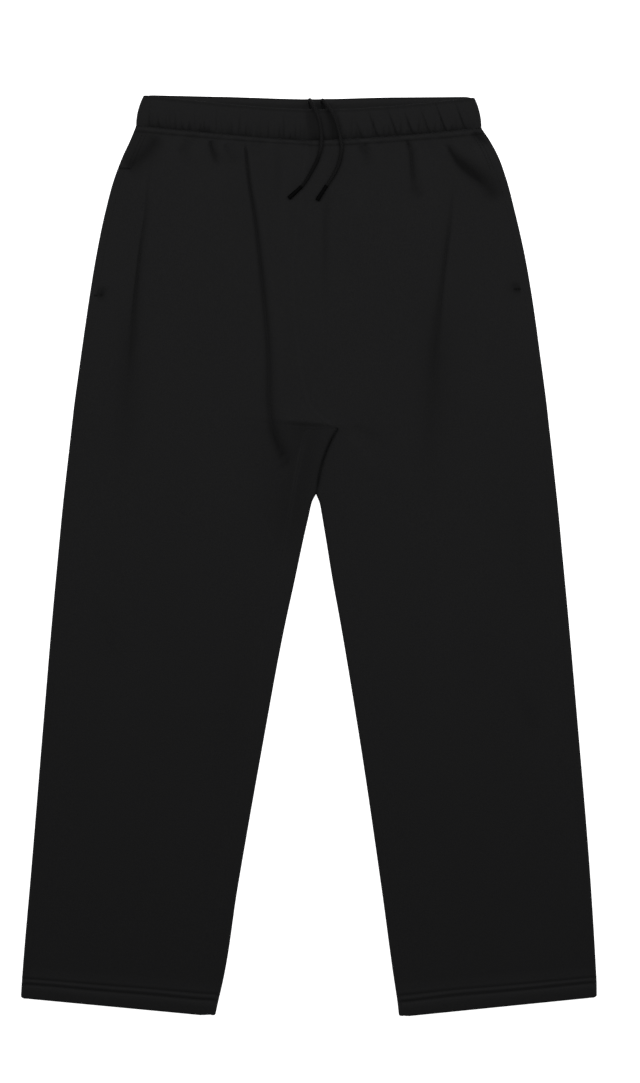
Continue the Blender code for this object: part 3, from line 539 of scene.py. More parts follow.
def rows_at(side, heights):
    """The rows of one side that start at the given heights on its outer edge."""
    heights = np.array(heights, float)
    pelvis = np.array((WAISTS[side],) + PELVIS)
    crotch = PELVIS[-1]
    crotch_x = crotch.right_x if side == RIGHT else crotch.left_x
    crotch_section = LegSection(crotch.outer_y, crotch_x, crotch.back_x, crotch.back_y,
                                crotch.rise_x, crotch.rise_y, 0.0)
    legs = np.array((crotch_section,) + LEGS[side])
    _, right_x, left_x, rise_x, rise_y, back_x, back_y = sections_at(pelvis, heights).T
    _, leg_x, edge_x, edge_y, seam_x, seam_y, turn = sections_at(legs, heights).T
    above = heights > FORK_Y
    hip_x = right_x if side == RIGHT else left_x
    over = np.clip(LEGS[side][-1].outer_y + HEM_CORNER - heights, 0.0, HEM_CORNER)
    rounding = HEM_CORNER - np.sqrt(HEM_CORNER ** 2 - over ** 2)
    edge_x = edge_x + side * rounding
    return Rows(
        outer=np.column_stack((np.where(above, hip_x, leg_x), heights)),
        top_end=np.column_stack((np.where(above, rise_x, seam_x),
                                 np.where(above, rise_y, seam_y))),
        under_end=np.column_stack((np.where(above, back_x, edge_x),
                                   np.where(above, back_y, edge_y))),
        turn=np.where(above, 0.0, np.clip(turn, 0.0, 1.0)),
        power=mix(1.0, BAND_POWER[side], ramp(heights, FORK_Y, WAIST_Y[side])),
    )


def steps_down(start, end, step):
    cells = math.ceil((start - end) / step)
    return np.linspace(start, end, cells, endpoint=False)


def row_heights(side, hem_wall):
    """Where the rows of a panel start, closer together at the waist seam and at the hem."""
    bottom = LEGS[side][-1].outer_y
    last = bottom + hem_wall / 2
    waist = WAIST_Y[side]
    above, below = CREST_ZONE
    crowded = np.linspace(0.0, 1.0, CREST_ROWS + 1) ** 1.6
    return np.concatenate((
        steps_down(waist, waist - WAIST_ZONE, SEWN_STEP),
        steps_down(waist - WAIST_ZONE, HIP_Y, HIP_STEP),
        steps_down(HIP_Y, FORK_Y + above, PELVIS_STEP),
        FORK_Y + above * crowded[:0:-1],
        FORK_Y - below * crowded[:-1],
        steps_down(FORK_Y - below, bottom + HEM_ZONE, LEG_STEP),
        steps_down(bottom + HEM_ZONE, last, SEWN_STEP),
        [last],
    ))


def lengths_to(rows, ends):
    return np.linalg.norm(ends - rows.outer, axis=1)[:, None]


def row_places(rows, ends, insets):
    """Places in plan at distances from the outer edge along each row to an end."""
    shares = np.minimum(1.0, insets / lengths_to(rows, ends))
    x = mix(rows.outer[:, :1], ends[:, :1], shares)
    y = mix(rows.outer[:, 1:], ends[:, 1:], 1.0 - (1.0 - shares) ** rows.power[:, None])
    return np.stack((x, y), axis=-1)


COARSE = {side: rows_at(side, np.concatenate((steps_down(WAIST_Y[side], FORK_Y, 0.012),
                                              steps_down(FORK_Y, -0.500, 0.020), [-0.508])))
          for side in (RIGHT, LEFT)}
FREE_EDGES = tuple(rows.outer for rows in COARSE.values()) + tuple(
    rows.under_end[rows.outer[:, 1] <= FORK_Y] for rows in COARSE.values())


def edge_distances(places):
    """Distance in plan to the nearest fold at an outer or inner edge."""
    return np.min([np.abs(run_offsets(places, run)[0]) for run in FREE_EDGES], axis=0)


def hem_share(heights, side):
    """1 within the hem and 0 above it."""
    hem_top = LEGS[side][-1].outer_y + HEM_TOP
    return 1.0 - ramp(heights, hem_top, hem_top + HEM_FADE)


def fold_radii(heights, side):
    wide = np.maximum(hem_share(heights, side), ramp(heights, *WIDE_FOLD_RISE))
    return mix(FOLD_RADIUS, WIDE_FOLD_RADIUS, wide)


def beside(crease, places):
    """Which places lie near a crease, how far beside it, and how strong it is there."""
    run = smooth_run(crease.points)
    reach = CREASE_REACH * max(crease.right, crease.left) * crease.spread
    near = (places > run.min(axis=0) - reach) & (places < run.max(axis=0) + reach)
    near = near.all(axis=1)
    distance, along = run_offsets(places[near], run)
    fade = ramp(along, 0.0, crease.start_fade) * ramp(1.0 - along, 0.0, crease.end_fade)
    return near, distance / mix(1.0, crease.spread, along), fade


def crease_relief(places, creases, share=1.0):
    """Height that the creases add at places in plan."""
    total = np.zeros(len(places))
    for crease in creases:
        near, distance, fade = beside(crease, places)
        width = np.where(distance > 0.0, crease.left, crease.right)
        rounded = np.hypot(distance, crease.edge) - crease.edge
        trough = crease.depth * np.exp(-rounded / width)
        beyond = distance - SWELL_PLACE * crease.left
        swell = crease.swell * bell(beyond, SWELL_WIDTH * crease.left)
        total[near] += fade * (swell - trough) * share
    return total


def spread(grid, heights):
    """Each point of a grid in plan, and where its row starts on the outer edge."""
    return np.nan_to_num(grid[..., :2]).reshape(-1, 2), np.repeat(heights, grid.shape[1])


def painted_crease_shade(grid, creases):
    """How much shade creases paint into the cloth's colour at each point of a grid, up to 1. Ridges
    are below 0 and paint a highlight.
    """
    flat = np.nan_to_num(grid[..., :2]).reshape(-1, 2)
    shades = [crease._replace(depth=crease.depth * crease.shade) for crease in creases]
    return -crease_relief(flat, shades).reshape(grid.shape[:2]) / SHADED_DEPTH


def painted_top_shade(grid, heights, side, cloth):
    """The shade and highlight that creases and sewing paint into the colour of the upper face of
    the cloth.
    """
    flat, rows = spread(grid, heights)
    sewing = seam_relief(flat, side) + sewn_relief(flat, rows, side)
    sewing = sewing.reshape(grid.shape[:2]) * SEWING_SHADE / SHADED_DEPTH
    return np.clip(painted_crease_shade(grid, top_creases(cloth)) - sewing, FULLEST_RIDGE, 1.0)


def crowding(places):
    """How much closer together than elsewhere the columns lie beside each sharp crease."""
    total = np.zeros(len(places))
    for crease in CREASES:
        if crease.edge < SHARP_EDGE:
            near, distance, fade = beside(crease, places)
            total[near] += CROWDING * np.sqrt(fade) * bell(distance, CROWDING_REACH)
    return np.minimum(total, CROWDING)


def waist_gathers(count, depth, seed):
    """Short creases that hang from the waist seam, uneven in place, length and depth."""
    draw = random.Random(seed)
    gathers = []
    for index in range(count):
        x = mix(-GATHER_SPAN, GATHER_SPAN, (index + draw.uniform(0.15, 0.85)) / count)
        side = RIGHT if x < 0 else LEFT
        s = abs(x) / BAND_HALF_WIDTH
        top = BAND_CENTRE_Y + BAND_RISE[side] * s ** BAND_POWER[side] - 0.001
        length = draw.uniform(0.008, 0.022) + 0.020 * draw.random() ** 3
        lean = x * 0.10 + draw.uniform(-0.003, 0.003)
        width = draw.uniform(0.0014, 0.0032)
        gathers.append(Crease(
            "waist gather", depth * draw.uniform(0.35, 1.0), width, width * 1.6, 0.0008,
            depth * 0.25, 1.6, 0.10, 0.80,
            ((x, top), (x + lean * 0.5, top - length * 0.5), (x + lean, top - length)),
        ))
    return gathers


def unevenness(places, height):
    """Broad soft waves in the lie of the cloth, longer down the leg than across it."""
    lie = [noise.noise((x * 16.0, y * 6.0, 0.3)) + 0.45 * noise.noise((x * 42.0, y * 18.0, 4.7))
           for x, y in places.tolist()]
    return np.array(lie) * height


def crotch_point(side):
    """Where the rise seam, the inseam and the crotch fold meet on top."""
    return rows_at(side, (FORK_Y,)).top_end[0]


def crotch_line(side):
    """The way from the fork in the back panels to the point on top where the seams meet."""
    return unit(crotch_point(side) - rows_at(side, (FORK_Y,)).under_end[0])


def drawn_in(places):
    """Places in plan, moved aside where the fold between the crotch and the fork bows in."""
    point = crotch_point(RIGHT)
    line = crotch_line(RIGHT)
    length = np.linalg.norm(point - rows_at(RIGHT, (FORK_Y,)).under_end[0])
    share = (point - places) @ line / (0.95 * length)
    aside = (point - places) @ np.array((line[1], -line[0]))
    bow = CROTCH_BOW * np.maximum(0.0, 4.0 * share * (1.0 - share)) * bell(aside, CROTCH_BOW_WIDTH)
    return places - bow[:, None] * np.array((line[1], -line[0]))


def seam_runs(side):
    """The side seam, the rise seam and the inseam of one side, in plan."""
    fine = rows_at(side, np.concatenate((steps_down(WAIST_Y[side], FORK_Y, 0.004),
                                         steps_down(FORK_Y, -0.507, 0.008))))
    crotch = int(np.argmax(fine.outer[:, 1] <= FORK_Y))
    side_seam = row_places(fine, fine.top_end, np.full((len(fine.turn), 1), SIDE_WRAP))[:, 0]
    return side_seam, drawn_in(fine.top_end[:crotch + 1]), drawn_in(fine.top_end[crotch:])


SEAMS = {side: seam_runs(side) for side in (RIGHT, LEFT)}


def profile(distance, marks):
    """The rises and dips that sewing leaves beside a line."""
    return sum(height * bell(distance - place, width) for place, width, height in marks)


def seam_relief(places, side):
    """Dips where panels join, and the swell of the turned-in cloth beside them."""
    side_seam, rise, inseam = SEAMS[side]
    across = np.abs(run_offsets(places, side_seam)[0])
    above_pocket = ramp(places[:, 1] - POCKET_TOP_Y, -POCKET_LINE_BLEND, POCKET_LINE_BLEND)
    total = POCKET_LINE_DEPTH * above_pocket * profile(across, POCKET_PROFILE)
    distance, along = run_offsets(places, rise)
    total += mix(*RISE_RELIEF, ramp(along, *RISE_RELIEF_CHANGE)) * profile(distance, RISE_PROFILE)
    distance, along = run_offsets(places, inseam)
    strength = INSEAM_RELIEF[side] * ramp(along, 0.02, 0.06)
    strength = strength * mix(1.0, 0.3, ramp(along, 0.1, 0.35))
    return total + strength * profile(np.abs(distance), INSEAM_PROFILE)


def needle_line(distance, depth):
    """A steep groove that a line of stitches pulls into the cloth."""
    rounded = np.hypot(distance, NEEDLE_ROUNDING) - NEEDLE_ROUNDING
    return depth * np.exp(-rounded / LINE_WIDTH)


def sewn_relief(places, heights, side):
    """The twin needle lines under the waistband and at the hem, by rows."""
    wander = waves(places[:, 0], 14.0, 0.0, 9.1)
    pulls = 1.0 + 0.9 * waves(places[:, 0], 150.0, 0.0, 3.3)
    below = WAIST_Y[side] - heights + WAIST_WANDER * wander
    total = profile(below, WAIST_PROFILE)
    total -= needle_line(below - WAIST_LINES[1], WAIST_LINE_DEPTH) * pulls
    above = heights - LEGS[side][-1].outer_y + HEM_WANDER * wander
    total += profile(above, HEM_PROFILE)
    for line, depth in zip(HEM_LINES, HEM_LINE_DEPTHS):
        total -= needle_line(above - line, depth)
    below = HEM_LINES[0] - HEM_SWELL_DROP - above
    total += HEM_SWELL * bell(below, np.where(below < 0.0, *HEM_SWELL_WIDTHS))
    return total - HEM_EDGE_DROP * (1.0 - ramp(above, 0.0, HEM_EDGE_ZONE))


def under_heights(places, heights, side):
    """Height of what lies under the front: the back's cloth, its hem or a pocket bag."""
    reach = np.abs(places[:, 0]) - (np.abs(outer_edge_x(places[:, 1], side)) - BAG_REACH)
    past_end = np.abs(places[:, 1] - BAG_MIDDLE_Y) - BAG_HALF_HEIGHT
    over_bag = ramp(reach, *BAG_SIDE_BLEND) * (1.0 - ramp(past_end, *BAG_END_BLEND))
    under = mix(BACK_TOP_Z, BAG_TOP_Z + SEAM_GAP, over_bag)
    return mix(under, HEM_UNDER_Z, hem_share(heights, side))


def top_heights(places, heights, side, cloth):
    """Height of the upper face of the cloth at places in plan, on rows of given heights."""
    radius = fold_radii(heights, side)
    hem = hem_share(heights, side)
    base = mix(LEG_HEIGHT, PELVIS_HEIGHT, ramp(heights, *HIP_RISE))
    base = mix(base, WAIST_HEIGHT, ramp(places[:, 1], *WAIST_RISE))
    base = mix(base, HEM_STACK, hem)
    shoulder = np.exp(-np.maximum(0.0, edge_distances(places) - radius) / SHOULDER)
    relief = crease_relief(places, top_creases(cloth), cloth.crease_share)
    relief += unevenness(places, cloth.unevenness)
    height = mix(base, 2.0 * radius, shoulder) + relief * (1.0 - hem) * (1.0 - shoulder ** 2)
    height = soft_greater(height, under_heights(places, heights, side) + THIN_WALL)
    return height + seam_relief(places, side) + sewn_relief(places, heights, side)


def outer_edge_x(y, side):
    edge = COARSE[side].outer
    return np.interp(-y, -edge[:, 1], edge[:, 0])


def raised(places, heights, side, cloth):
    """A grid of places in plan, lifted to the upper face of the cloth."""
    flat = drawn_in(places.reshape(-1, 2))
    rows = np.repeat(heights, places.shape[1])
    z = top_heights(flat, rows, side, cloth)
    return np.column_stack((flat, z)).reshape(places.shape[:2] + (3,))


def half_gaps(heights, side):
    """Half the gap at the side seam, wider along the pocket mouth."""
    open_share = ramp(heights, POCKET_BOTTOM_Y[side] - 0.003, POCKET_BOTTOM_Y[side] + 0.003)
    open_share *= 1.0 - ramp(heights, POCKET_TOP_Y - 0.003, POCKET_TOP_Y + 0.003)
    return mix(SEAM_GAP, POCKET_GAP, open_share)[:, None] / 2


def column_insets(rows, start, end):
    """Distances of the columns from the outer edge, closer beside seams and sharp creases."""
    samples = mix(start, end, np.linspace(0.0, 1.0, 4 * FRONT_CELLS + 1))
    places = row_places(rows, rows.top_end, samples)
    closeness = crowding(places.reshape(-1, 2)).reshape(samples.shape)
    near_seams = bell(samples - start, SEAM_ZONE) + bell(end - samples, SEAM_ZONE)
    closeness += SEAM_CROWDING * near_seams
    steps = np.diff(samples, axis=1) * (1.0 + (closeness[:, 1:] + closeness[:, :-1]) / 2)
    reach = np.cumsum(np.hstack((np.zeros((len(steps), 1)), steps)), axis=1)
    marks = np.linspace(0.0, 1.0, FRONT_CELLS + 1)
    return np.array([np.interp(marks * row[-1], row, inset)
                     for row, inset in zip(reach, samples)])


def left_of(run):
    """Unit vectors to the left of each point of a run."""
    along = np.vstack((run[1:2] - run[:1], run[2:] - run[:-2], run[-1:] - run[-2:-1]))
    return unit(np.column_stack((-along[:, 1], along[:, 0])))


def inner_seam(rows, side, panel):
    """The rise seam and the inseam, moved into a panel by half a seam gap."""
    above = np.count_nonzero(rows.outer[:, 1] > FORK_Y)
    into_panel = (-side if panel == "front" else side) * SEAM_GAP / 2
    moved = rows.top_end.copy()
    for part in (slice(0, above + 1), slice(above, None)):
        run = rows.top_end[part]
        if len(run) > 1:
            moved[part] = run - left_of(run) * into_panel
    heights = rows.outer[:, 1:]
    moved = np.where(heights == FORK_Y, crotch_point(side), moved)
    return moved + CROTCH_CORNERS[panel, side] * bell(heights - FORK_Y, CROTCH_CORNER_REACH)


def front_grid(side, heights, cloth):
    """Points of a front panel, from the side seam to the rise seam or the inseam."""
    rows = rows_at(side, heights)
    whole = lengths_to(rows, rows.top_end)
    insets = column_insets(rows, SIDE_WRAP + half_gaps(heights, side), whole)
    places = row_places(rows, rows.top_end, insets)
    shift = inner_seam(rows, side, "front") - rows.top_end
    places = places + shift[:, None, :] * ((insets / whole) ** 8)[..., None]
    return raised(places, heights, side, cloth)


def turned(places, z):
    return np.concatenate((places, np.broadcast_to(z, places.shape[:2])[..., None]), axis=2)


def under_lift(places, heights, side):
    """How far shallow creases and the hem's lines lift the underside from the surface."""
    lift = -crease_relief(places, UNDER_CREASES)
    above = heights - LEGS[side][-1].outer_y
    for line in HEM_LINES:
        lift += 0.0006 * bell(above - line, LINE_WIDTH)
    for line in WAIST_LINES:
        lift += 0.0006 * bell(WAIST_Y[side] - heights - line, LINE_WIDTH)
    return np.maximum(0.0, lift)


def laid(places, heights, side):
    """A grid of places in plan on the underside of the garment."""
    flat = places.reshape(-1, 2)
    lift = under_lift(flat, np.repeat(heights, places.shape[1]), side)
    return np.column_stack((flat, lift)).reshape(places.shape[:2] + (3,))


def outer_turn(rows, radius):
    """Points of a back panel round the outer edge, from the top to the underside."""
    stretches = []
    for share, ends in ((0.5, rows.top_end), (0.0, rows.under_end)):
        angles = np.pi * (share - np.arange(TURN_CELLS // 2) / TURN_CELLS)
        stretches.append(turned(row_places(rows, ends, radius * (1.0 - np.cos(angles))),
                                radius * (1.0 + np.sin(angles))))
    return np.concatenate(stretches, axis=1)


def underside(rows, radius, heights, side):
    """Points of a back panel below, to the centre-back seam or straight to the inner fold."""
    legs = heights <= FORK_Y
    shares = np.linspace(0.0, 1.0, UNDER_CELLS + 1)[:, None]
    across = mix(radius, lengths_to(rows, rows.under_end), shares[:, 0])
    under = row_places(rows, rows.under_end, across)
    under[:, -1] += np.array((side * SEAM_GAP / 2, 0.0)) * ~legs[:, None]
    near_fork = (1.0 - ramp(heights, FORK_Y, FORK_Y + FORK_BLEND))[:, None, None]
    under += near_fork * shares * radius[..., None] * crotch_line(side)
    start = rows.under_end + inner_aims(rows, side) * radius
    first = row_places(rows, rows.under_end, radius)[:, 0]
    straight = mix(first[:, None], start[:, None], shares)
    under[legs] = straight[legs]
    return laid(under, heights, side)


def inner_turn(rows, radius, heights, side, cloth):
    """Points of a back panel round a leg's inner edge and on top of it to the inseam."""
    aim = inner_aims(rows, side)
    angles = np.pi * (np.arange(1, TURN_CELLS + 1) / TURN_CELLS - 0.5)
    turn = rows.under_end[:, None] + aim[:, None] * (radius * (1.0 - np.cos(angles)))[..., None]
    turn = turned(turn, radius * (1.0 + np.sin(angles)))
    start, seam = rows.under_end + aim * radius, inner_seam(rows, side, "back")
    bend = start + aim * np.linalg.norm(seam - start, axis=1)[:, None] * WRAP_BEND
    cells = (np.arange(1, WRAP_CELLS + 1) / WRAP_CELLS)[:, None]
    start, bend, seam = start[:, None], bend[:, None], seam[:, None]
    wrap = raised(mix(mix(start, bend, cells), mix(bend, seam, cells), cells),
                  heights, side, cloth)
    line = crotch_line(side)
    aside = np.array((line[1], -line[0])) * side * SEAM_GAP / 2
    turn[heights == FORK_Y, :, :2] += aside
    wrap[heights == FORK_Y, :-1, :2] += aside
    both = np.concatenate((turn, wrap), axis=1)
    both[heights > FORK_Y] = np.nan
    return both


def back_grid(side, heights, cloth):
    """Points of a back panel: side seam, round the outer edge, flat below, round the inner
    edge and on top to the inseam. Above the fork it ends below at the centre-back seam."""
    rows = rows_at(side, heights)
    radius = fold_radii(heights, side)[:, None]
    ladder = np.arange(SIDE_CELLS) / SIDE_CELLS
    insets = mix(SIDE_WRAP - half_gaps(heights, side), radius, ladder)
    on_top = raised(row_places(rows, rows.top_end, insets), heights, side, cloth)
    return np.concatenate((on_top, outer_turn(rows, radius),
                           underside(rows, radius, heights, side),
                           inner_turn(rows, radius, heights, side, cloth)), axis=1)


def inner_aims(rows, side):
    """The way each row's inner fold turns in, from along the crotch line to square in."""
    turn = rows.turn[:, None]
    aims = crotch_line(side) * (1.0 - turn) + left_of(rows.under_end) * side * turn
    return unit(aims)


def normals_of(places, quads):
    first, second, third, fourth = (places[quads[:, corner]] for corner in range(4))
    facing = np.cross(third - first, fourth - second)
    normals = np.zeros_like(places)
    for corner in range(4):
        np.add.at(normals, quads[:, corner], facing)
    return unit(normals)


def grid_quads(there, loop=False):
    """Numbers of the points that are there in a grid, and the quads between them."""
    numbers = np.where(there, np.cumsum(there).reshape(there.shape) - 1, -1)
    if loop:
        numbers = np.hstack((numbers, numbers[:, :1]))
    corners = (numbers[:-1, :-1], numbers[:-1, 1:], numbers[1:, 1:], numbers[1:, :-1])
    quads = np.stack(corners, axis=-1).reshape(-1, 4)
    return quads[(quads >= 0).all(axis=1)]


def free_edges(quads, count):
    """The edges that only one quad has, among quads on a count of points."""
    edges = np.vstack([quads[:, [corner, (corner + 1) % 4]] for corner in range(4)])
    codes = edges @ np.array((count, 1))
    return edges[~np.isin(codes, edges @ np.array((1, count)))]


def rim_of(places, normals, free):
    """The points on the free edges, and the way out of the cloth at each."""
    away = np.cross(places[free[:, 1]] - places[free[:, 0]], normals[free[:, 0]])
    outward = np.zeros_like(places)
    np.add.at(outward, free[:, 0], away)
    np.add.at(outward, free[:, 1], away)
    rim = np.unique(free)
    return rim, unit(outward[rim])


def cloth_shell(name, grid, wall, roll, hollow, flip=False, loop=False):
    """A closed wall of cloth below a grid of points, its free edges rolled over by a share.
    The shade painted into the colour at each place, below 0 where a highlight is painted, goes into
    an attribute."""
    there = ~np.isnan(grid[..., 0])
    quads = grid_quads(there, loop)
    if flip:
        quads = quads[:, ::-1]
    outer = grid[there]
    wall = np.broadcast_to(wall, there.shape)[there][:, None]
    roll = np.broadcast_to(roll, there.shape)[there][:, None]
    normals = normals_of(outer, quads)
    inner = outer - normals * wall
    free = free_edges(quads, len(outer))
    rim, outward = rim_of(outer, normals, free)

    places, rings = [outer, inner], [rim]
    count = 2 * len(outer)
    middle = (outer[rim] + inner[rim]) / 2
    for step in range(1, ROLL_CELLS):
        angle = math.pi * step / ROLL_CELLS
        swing = normals[rim] * math.cos(angle) + outward * roll[rim] * math.sin(angle)
        places.append(middle + swing * wall[rim] / 2)
        rings.append(np.arange(count, count + len(rim)))
        count += len(rim)
    rings.append(rim + len(outer))
    start, end = np.searchsorted(rim, free).T
    faces = [quads, quads[:, ::-1] + len(outer)]
    for upper, lower in zip(rings, rings[1:]):
        faces.append(np.column_stack((upper[end], upper[start], lower[start], lower[end])))
    piece = smooth_piece(name, np.vstack(places), np.vstack(faces).tolist())
    cut = np.zeros(count, bool)
    cut[rim[roll[rim, 0] < 0.5]] = True
    cut[len(outer):2 * len(outer)] = cut[:len(outer)]
    keep_sharp(piece.data, cut)
    shade = hollow[there]
    shade = np.concatenate([shade, shade] + [shade[rim]] * (ROLL_CELLS - 1))
    set_attribute(piece, "hollow", shade)
    return piece


def set_attribute(piece, name, values):
    """Keep a number for each point of a piece, for its material to read."""
    attribute = piece.data.attributes.new(name, "FLOAT", "POINT")
    attribute.data.foreach_set("value", values.astype(np.float32).ravel())


def keep_sharp(mesh, cut):
    """Keep the shading of both faces apart at the cut edges of a cloth."""
    pairs = np.empty(2 * len(mesh.edges), np.int32)
    mesh.edges.foreach_get("vertices", pairs)
    mesh.edges.foreach_set("use_edge_sharp", cut[pairs.reshape(-1, 2)].all(axis=1))


def smooth_piece(name, places, faces):
    """A smooth-shaded mesh object from an array of places and a list of faces."""
    mesh = bpy.data.meshes.new(name)
    mesh.from_pydata(places.tolist(), [], faces)
    mesh.shade_smooth()
    piece = bpy.data.objects.new(name, mesh)
    bpy.context.scene.collection.objects.link(piece)
    return piece


def walls(grid, heights, side, cloth):
    """Thickness of the cloth, doubled at the hem and pressed thin at the foot of a crease."""
    full = mix(cloth.wall, cloth.hem_wall, hem_share(heights, side))[:, None]
    under = under_heights(*spread(grid, heights), side).reshape(grid.shape[:2])
    room = grid[..., 2] - under
    on_top = grid[..., 2] > full
    return np.where(on_top, np.clip(room, THIN_WALL * 0.8, full), full - grid[..., 2])


def hem_roll(heights):
    roll = np.zeros((len(heights), 1))
    roll[-1] = 1.0
    return roll


def top_creases(cloth):
    return CREASES + tuple(waist_gathers(cloth.gathers, cloth.gather_depth, cloth.seed))


def front_panel(side, cloth):
    heights = row_heights(side, cloth.hem_wall)
    grid = front_grid(side, heights, cloth)
    return cloth_shell(f"front_panel_{SIDE_NAMES[side]}_fleece", grid,
                       walls(grid, heights, side, cloth), hem_roll(heights),
                       painted_top_shade(grid, heights, side, cloth), flip=side == RIGHT)


def back_panel(side, cloth):
    heights = row_heights(side, cloth.hem_wall)
    grid = back_grid(side, heights, cloth)
    on_top = grid[..., 2] > FOLD_RADIUS
    hollow = np.where(on_top, painted_top_shade(grid, heights, side, cloth),
                      painted_crease_shade(grid, UNDER_CREASES))
    return cloth_shell(f"back_panel_{SIDE_NAMES[side]}_fleece", grid,
                       walls(grid, heights, side, cloth), hem_roll(heights), hollow,
                       flip=side == LEFT)


def band_half_widths(x, level):
    return BAND_HALF_WIDTH - by_side(x, BAND_TAPER) * level ** 2


def band_y(x, level, centre_y):
    """Height in plan of a place on the band, by its distance from the middle and its level."""
    end_y = BAND_CENTRE_Y + by_side(x, BAND_RISE)
    s = np.minimum(1.0, np.abs(x) / band_half_widths(x, level))
    return mix(centre_y, end_y, s ** by_side(x, BAND_POWER)) + BAND_HEIGHT * level


def band_radii(level):
    return BAND_STACK / 2 - BAND_BULGE * (2.0 * level - 1.0) ** 2 / 2


def pucker_relief(x, level, band, seed):
    """Puckers that rise from the band's lower seam, uneven in height, depth and lean, and wide
    at their feet. On the left some are long and lean to the right."""
    draw = random.Random(seed)
    total = np.zeros(np.broadcast_shapes(x.shape, level.shape))
    for index in range(band.puckers):
        foot = mix(-PUCKER_SPAN, PUCKER_SPAN, (index + draw.uniform(0.2, 0.8)) / band.puckers)
        tall = draw.uniform(0.22, 0.60) + 0.35 * (index % 4 == 1)
        lean = draw.uniform(-0.0012, 0.0012)
        depth = band.pucker_depth * draw.uniform(0.25, 1.0)
        if foot > LONG_PUCKERS_FROM and index % 3 == 0:
            tall = draw.uniform(0.65, 1.0)
            lean = LONG_PUCKER_LEAN * tall
            depth = band.pucker_depth * draw.uniform(0.9, 1.5)
        width = draw.uniform(0.0006, 0.0010)
        rise = np.clip(1.0 - level / tall, 0.0, 1.0)
        across = np.abs(x - foot - lean * level / tall)
        width = width * (0.7 + 2.6 * np.clip(1.0 - level / PUCKER_FOOT, 0.0, 1.0) ** 2)
        body = np.exp(-(np.hypot(across, PUCKER_ROUNDING) - PUCKER_ROUNDING) / width)
        total -= depth * np.sqrt(rise) * (0.45 + 0.55 * rise) * body
    return total


def band_relief(x, level, band, seed):
    """Puckers, the dip at the lower seam and the uneven upper edge of the band."""
    flat_x = np.broadcast_to(x, np.broadcast_shapes(x.shape, level.shape))
    ripple = waves(x, 90.0, seed * 1.7, 0.0)
    fine = waves(x, 260.0, seed * 3.1, 2.0)
    total = pucker_relief(x, level, band, seed)
    seam_dip = BAND_SEAM_DIP * np.exp(-level * BAND_HEIGHT / BAND_SEAM_REACH)
    total -= seam_dip * (1.0 + 0.8 * fine)
    total += profile((1.0 - level) * BAND_HEIGHT, BAND_TOP_PROFILE)
    for top_x, foot_x, width, depth in CORD_HOLLOWS:
        total -= depth * bell(x - mix(foot_x, top_x, level), width) * ramp(level, 1.1, 0.7)
    total += BAND_RIPPLE * ripple * (0.3 + 0.7 * level) + BAND_FINE_RIPPLE * fine
    calm = 1.0 - bell(np.abs(flat_x) - BAND_HALF_WIDTH, BAND_SIDE_CALM)
    dips = BAND_DEEPEST_DIP * np.tanh(total / BAND_DEEPEST_DIP)
    return np.where(total < 0.0, dips, total) * calm


def band_levels(rows):
    """Levels of the band's rows, closer together at its upper edge and its lower seam."""
    places = np.linspace(0.0, 1.0, rows)[:, None]
    places -= BAND_ROW_CROWDING * np.sin(2.0 * np.pi * places) / (2.0 * np.pi)
    return mix(1.0 - BAND_EDGE / 2 / BAND_HEIGHT, -BAND_TUCK / BAND_HEIGHT, places)


def band_front(x, level, band):
    """Points of the band's puckered front, lifted where the cords lie behind it."""
    edge_wave = BAND_EDGE_WAVE * waves(x, 130.0, 5.0, 0.0) * ramp(level, 0.6, 0.95)
    lift = CORD_LIFT * level * bell(x, CORD_LIFT_REACH)
    z = 2.0 * band_radii(level) + lift + band_relief(x, level, band, band.seed)
    return np.stack((x, band_y(x, level, BAND_CENTRE_Y) + edge_wave, z), axis=-1)


def band_back(x, level, band):
    """Points of the band's flat back, its upper edge a little higher on each side."""
    z = np.maximum(0.0, -band_relief(x, level, band, band.seed + 1) * BACK_PUCKER_SHARE)
    outward = np.abs(x) / BAND_HALF_WIDTH
    rise = by_side(x, BACK_SWELL) * level
    rise *= ramp(outward, 0.0, 0.5) * ramp(1.0 - outward, 0.03, 0.10)
    return np.stack((x, band_y(x, level, BACK_CENTRE_Y) + rise, z), axis=-1)


def band_turn(side, level):
    """Points of the fold at one end of the band, on its way round the loop."""
    radius = band_radii(level)
    swing = side * np.pi * (0.5 - np.arange(1, TURN_CELLS) / TURN_CELLS)[None, :]
    x = side * (band_half_widths(side, level) - radius * (1.0 - np.cos(swing)))
    centre_y = np.where(swing > 0, BAND_CENTRE_Y, BACK_CENTRE_Y)
    return np.stack((x, band_y(x, level, centre_y), radius * (1.0 + np.sin(swing))), axis=-1)


def band_walls(grid, level, band):
    """Thickness of the band: thin at its rolled edge and where a pucker leaves little room."""
    wall = mix(band.wall, BAND_EDGE, ramp(level, 0.80, 0.97))
    wall = np.broadcast_to(wall, grid.shape[:2]).copy()
    room = grid[:, :band.columns, 2] - band.wall - BAND_ROOM
    wall[:, :band.columns] = np.minimum(wall[:, :band.columns], np.maximum(room, BAND_THINNEST))
    return wall


def painted_band_shade(x, level, band):
    """The shade painted into the band's colour: its puckers and a dotted line of stitches and their
    groove below its upper edge in front, its inside at the back, darkest at its upper edge.
    """
    stitches = 0.75 + 0.35 * np.cos(2.0 * np.pi * x / BAND_STITCH)
    top_line = bell((1.0 - level) * BAND_HEIGHT - BAND_LINE, BAND_LINE_WIDTH) * stitches
    puckers = BAND_SHADE * band_relief(x, level, band, band.seed) / SHADED_DEPTH
    front = np.clip(BAND_LINE_SHADE * top_line - puckers, 0.0, 1.0)
    inside = mix(BACK_SHADE[0], BACK_SHADE[1], ramp(level, 0.93, 1.0))
    return front, inside


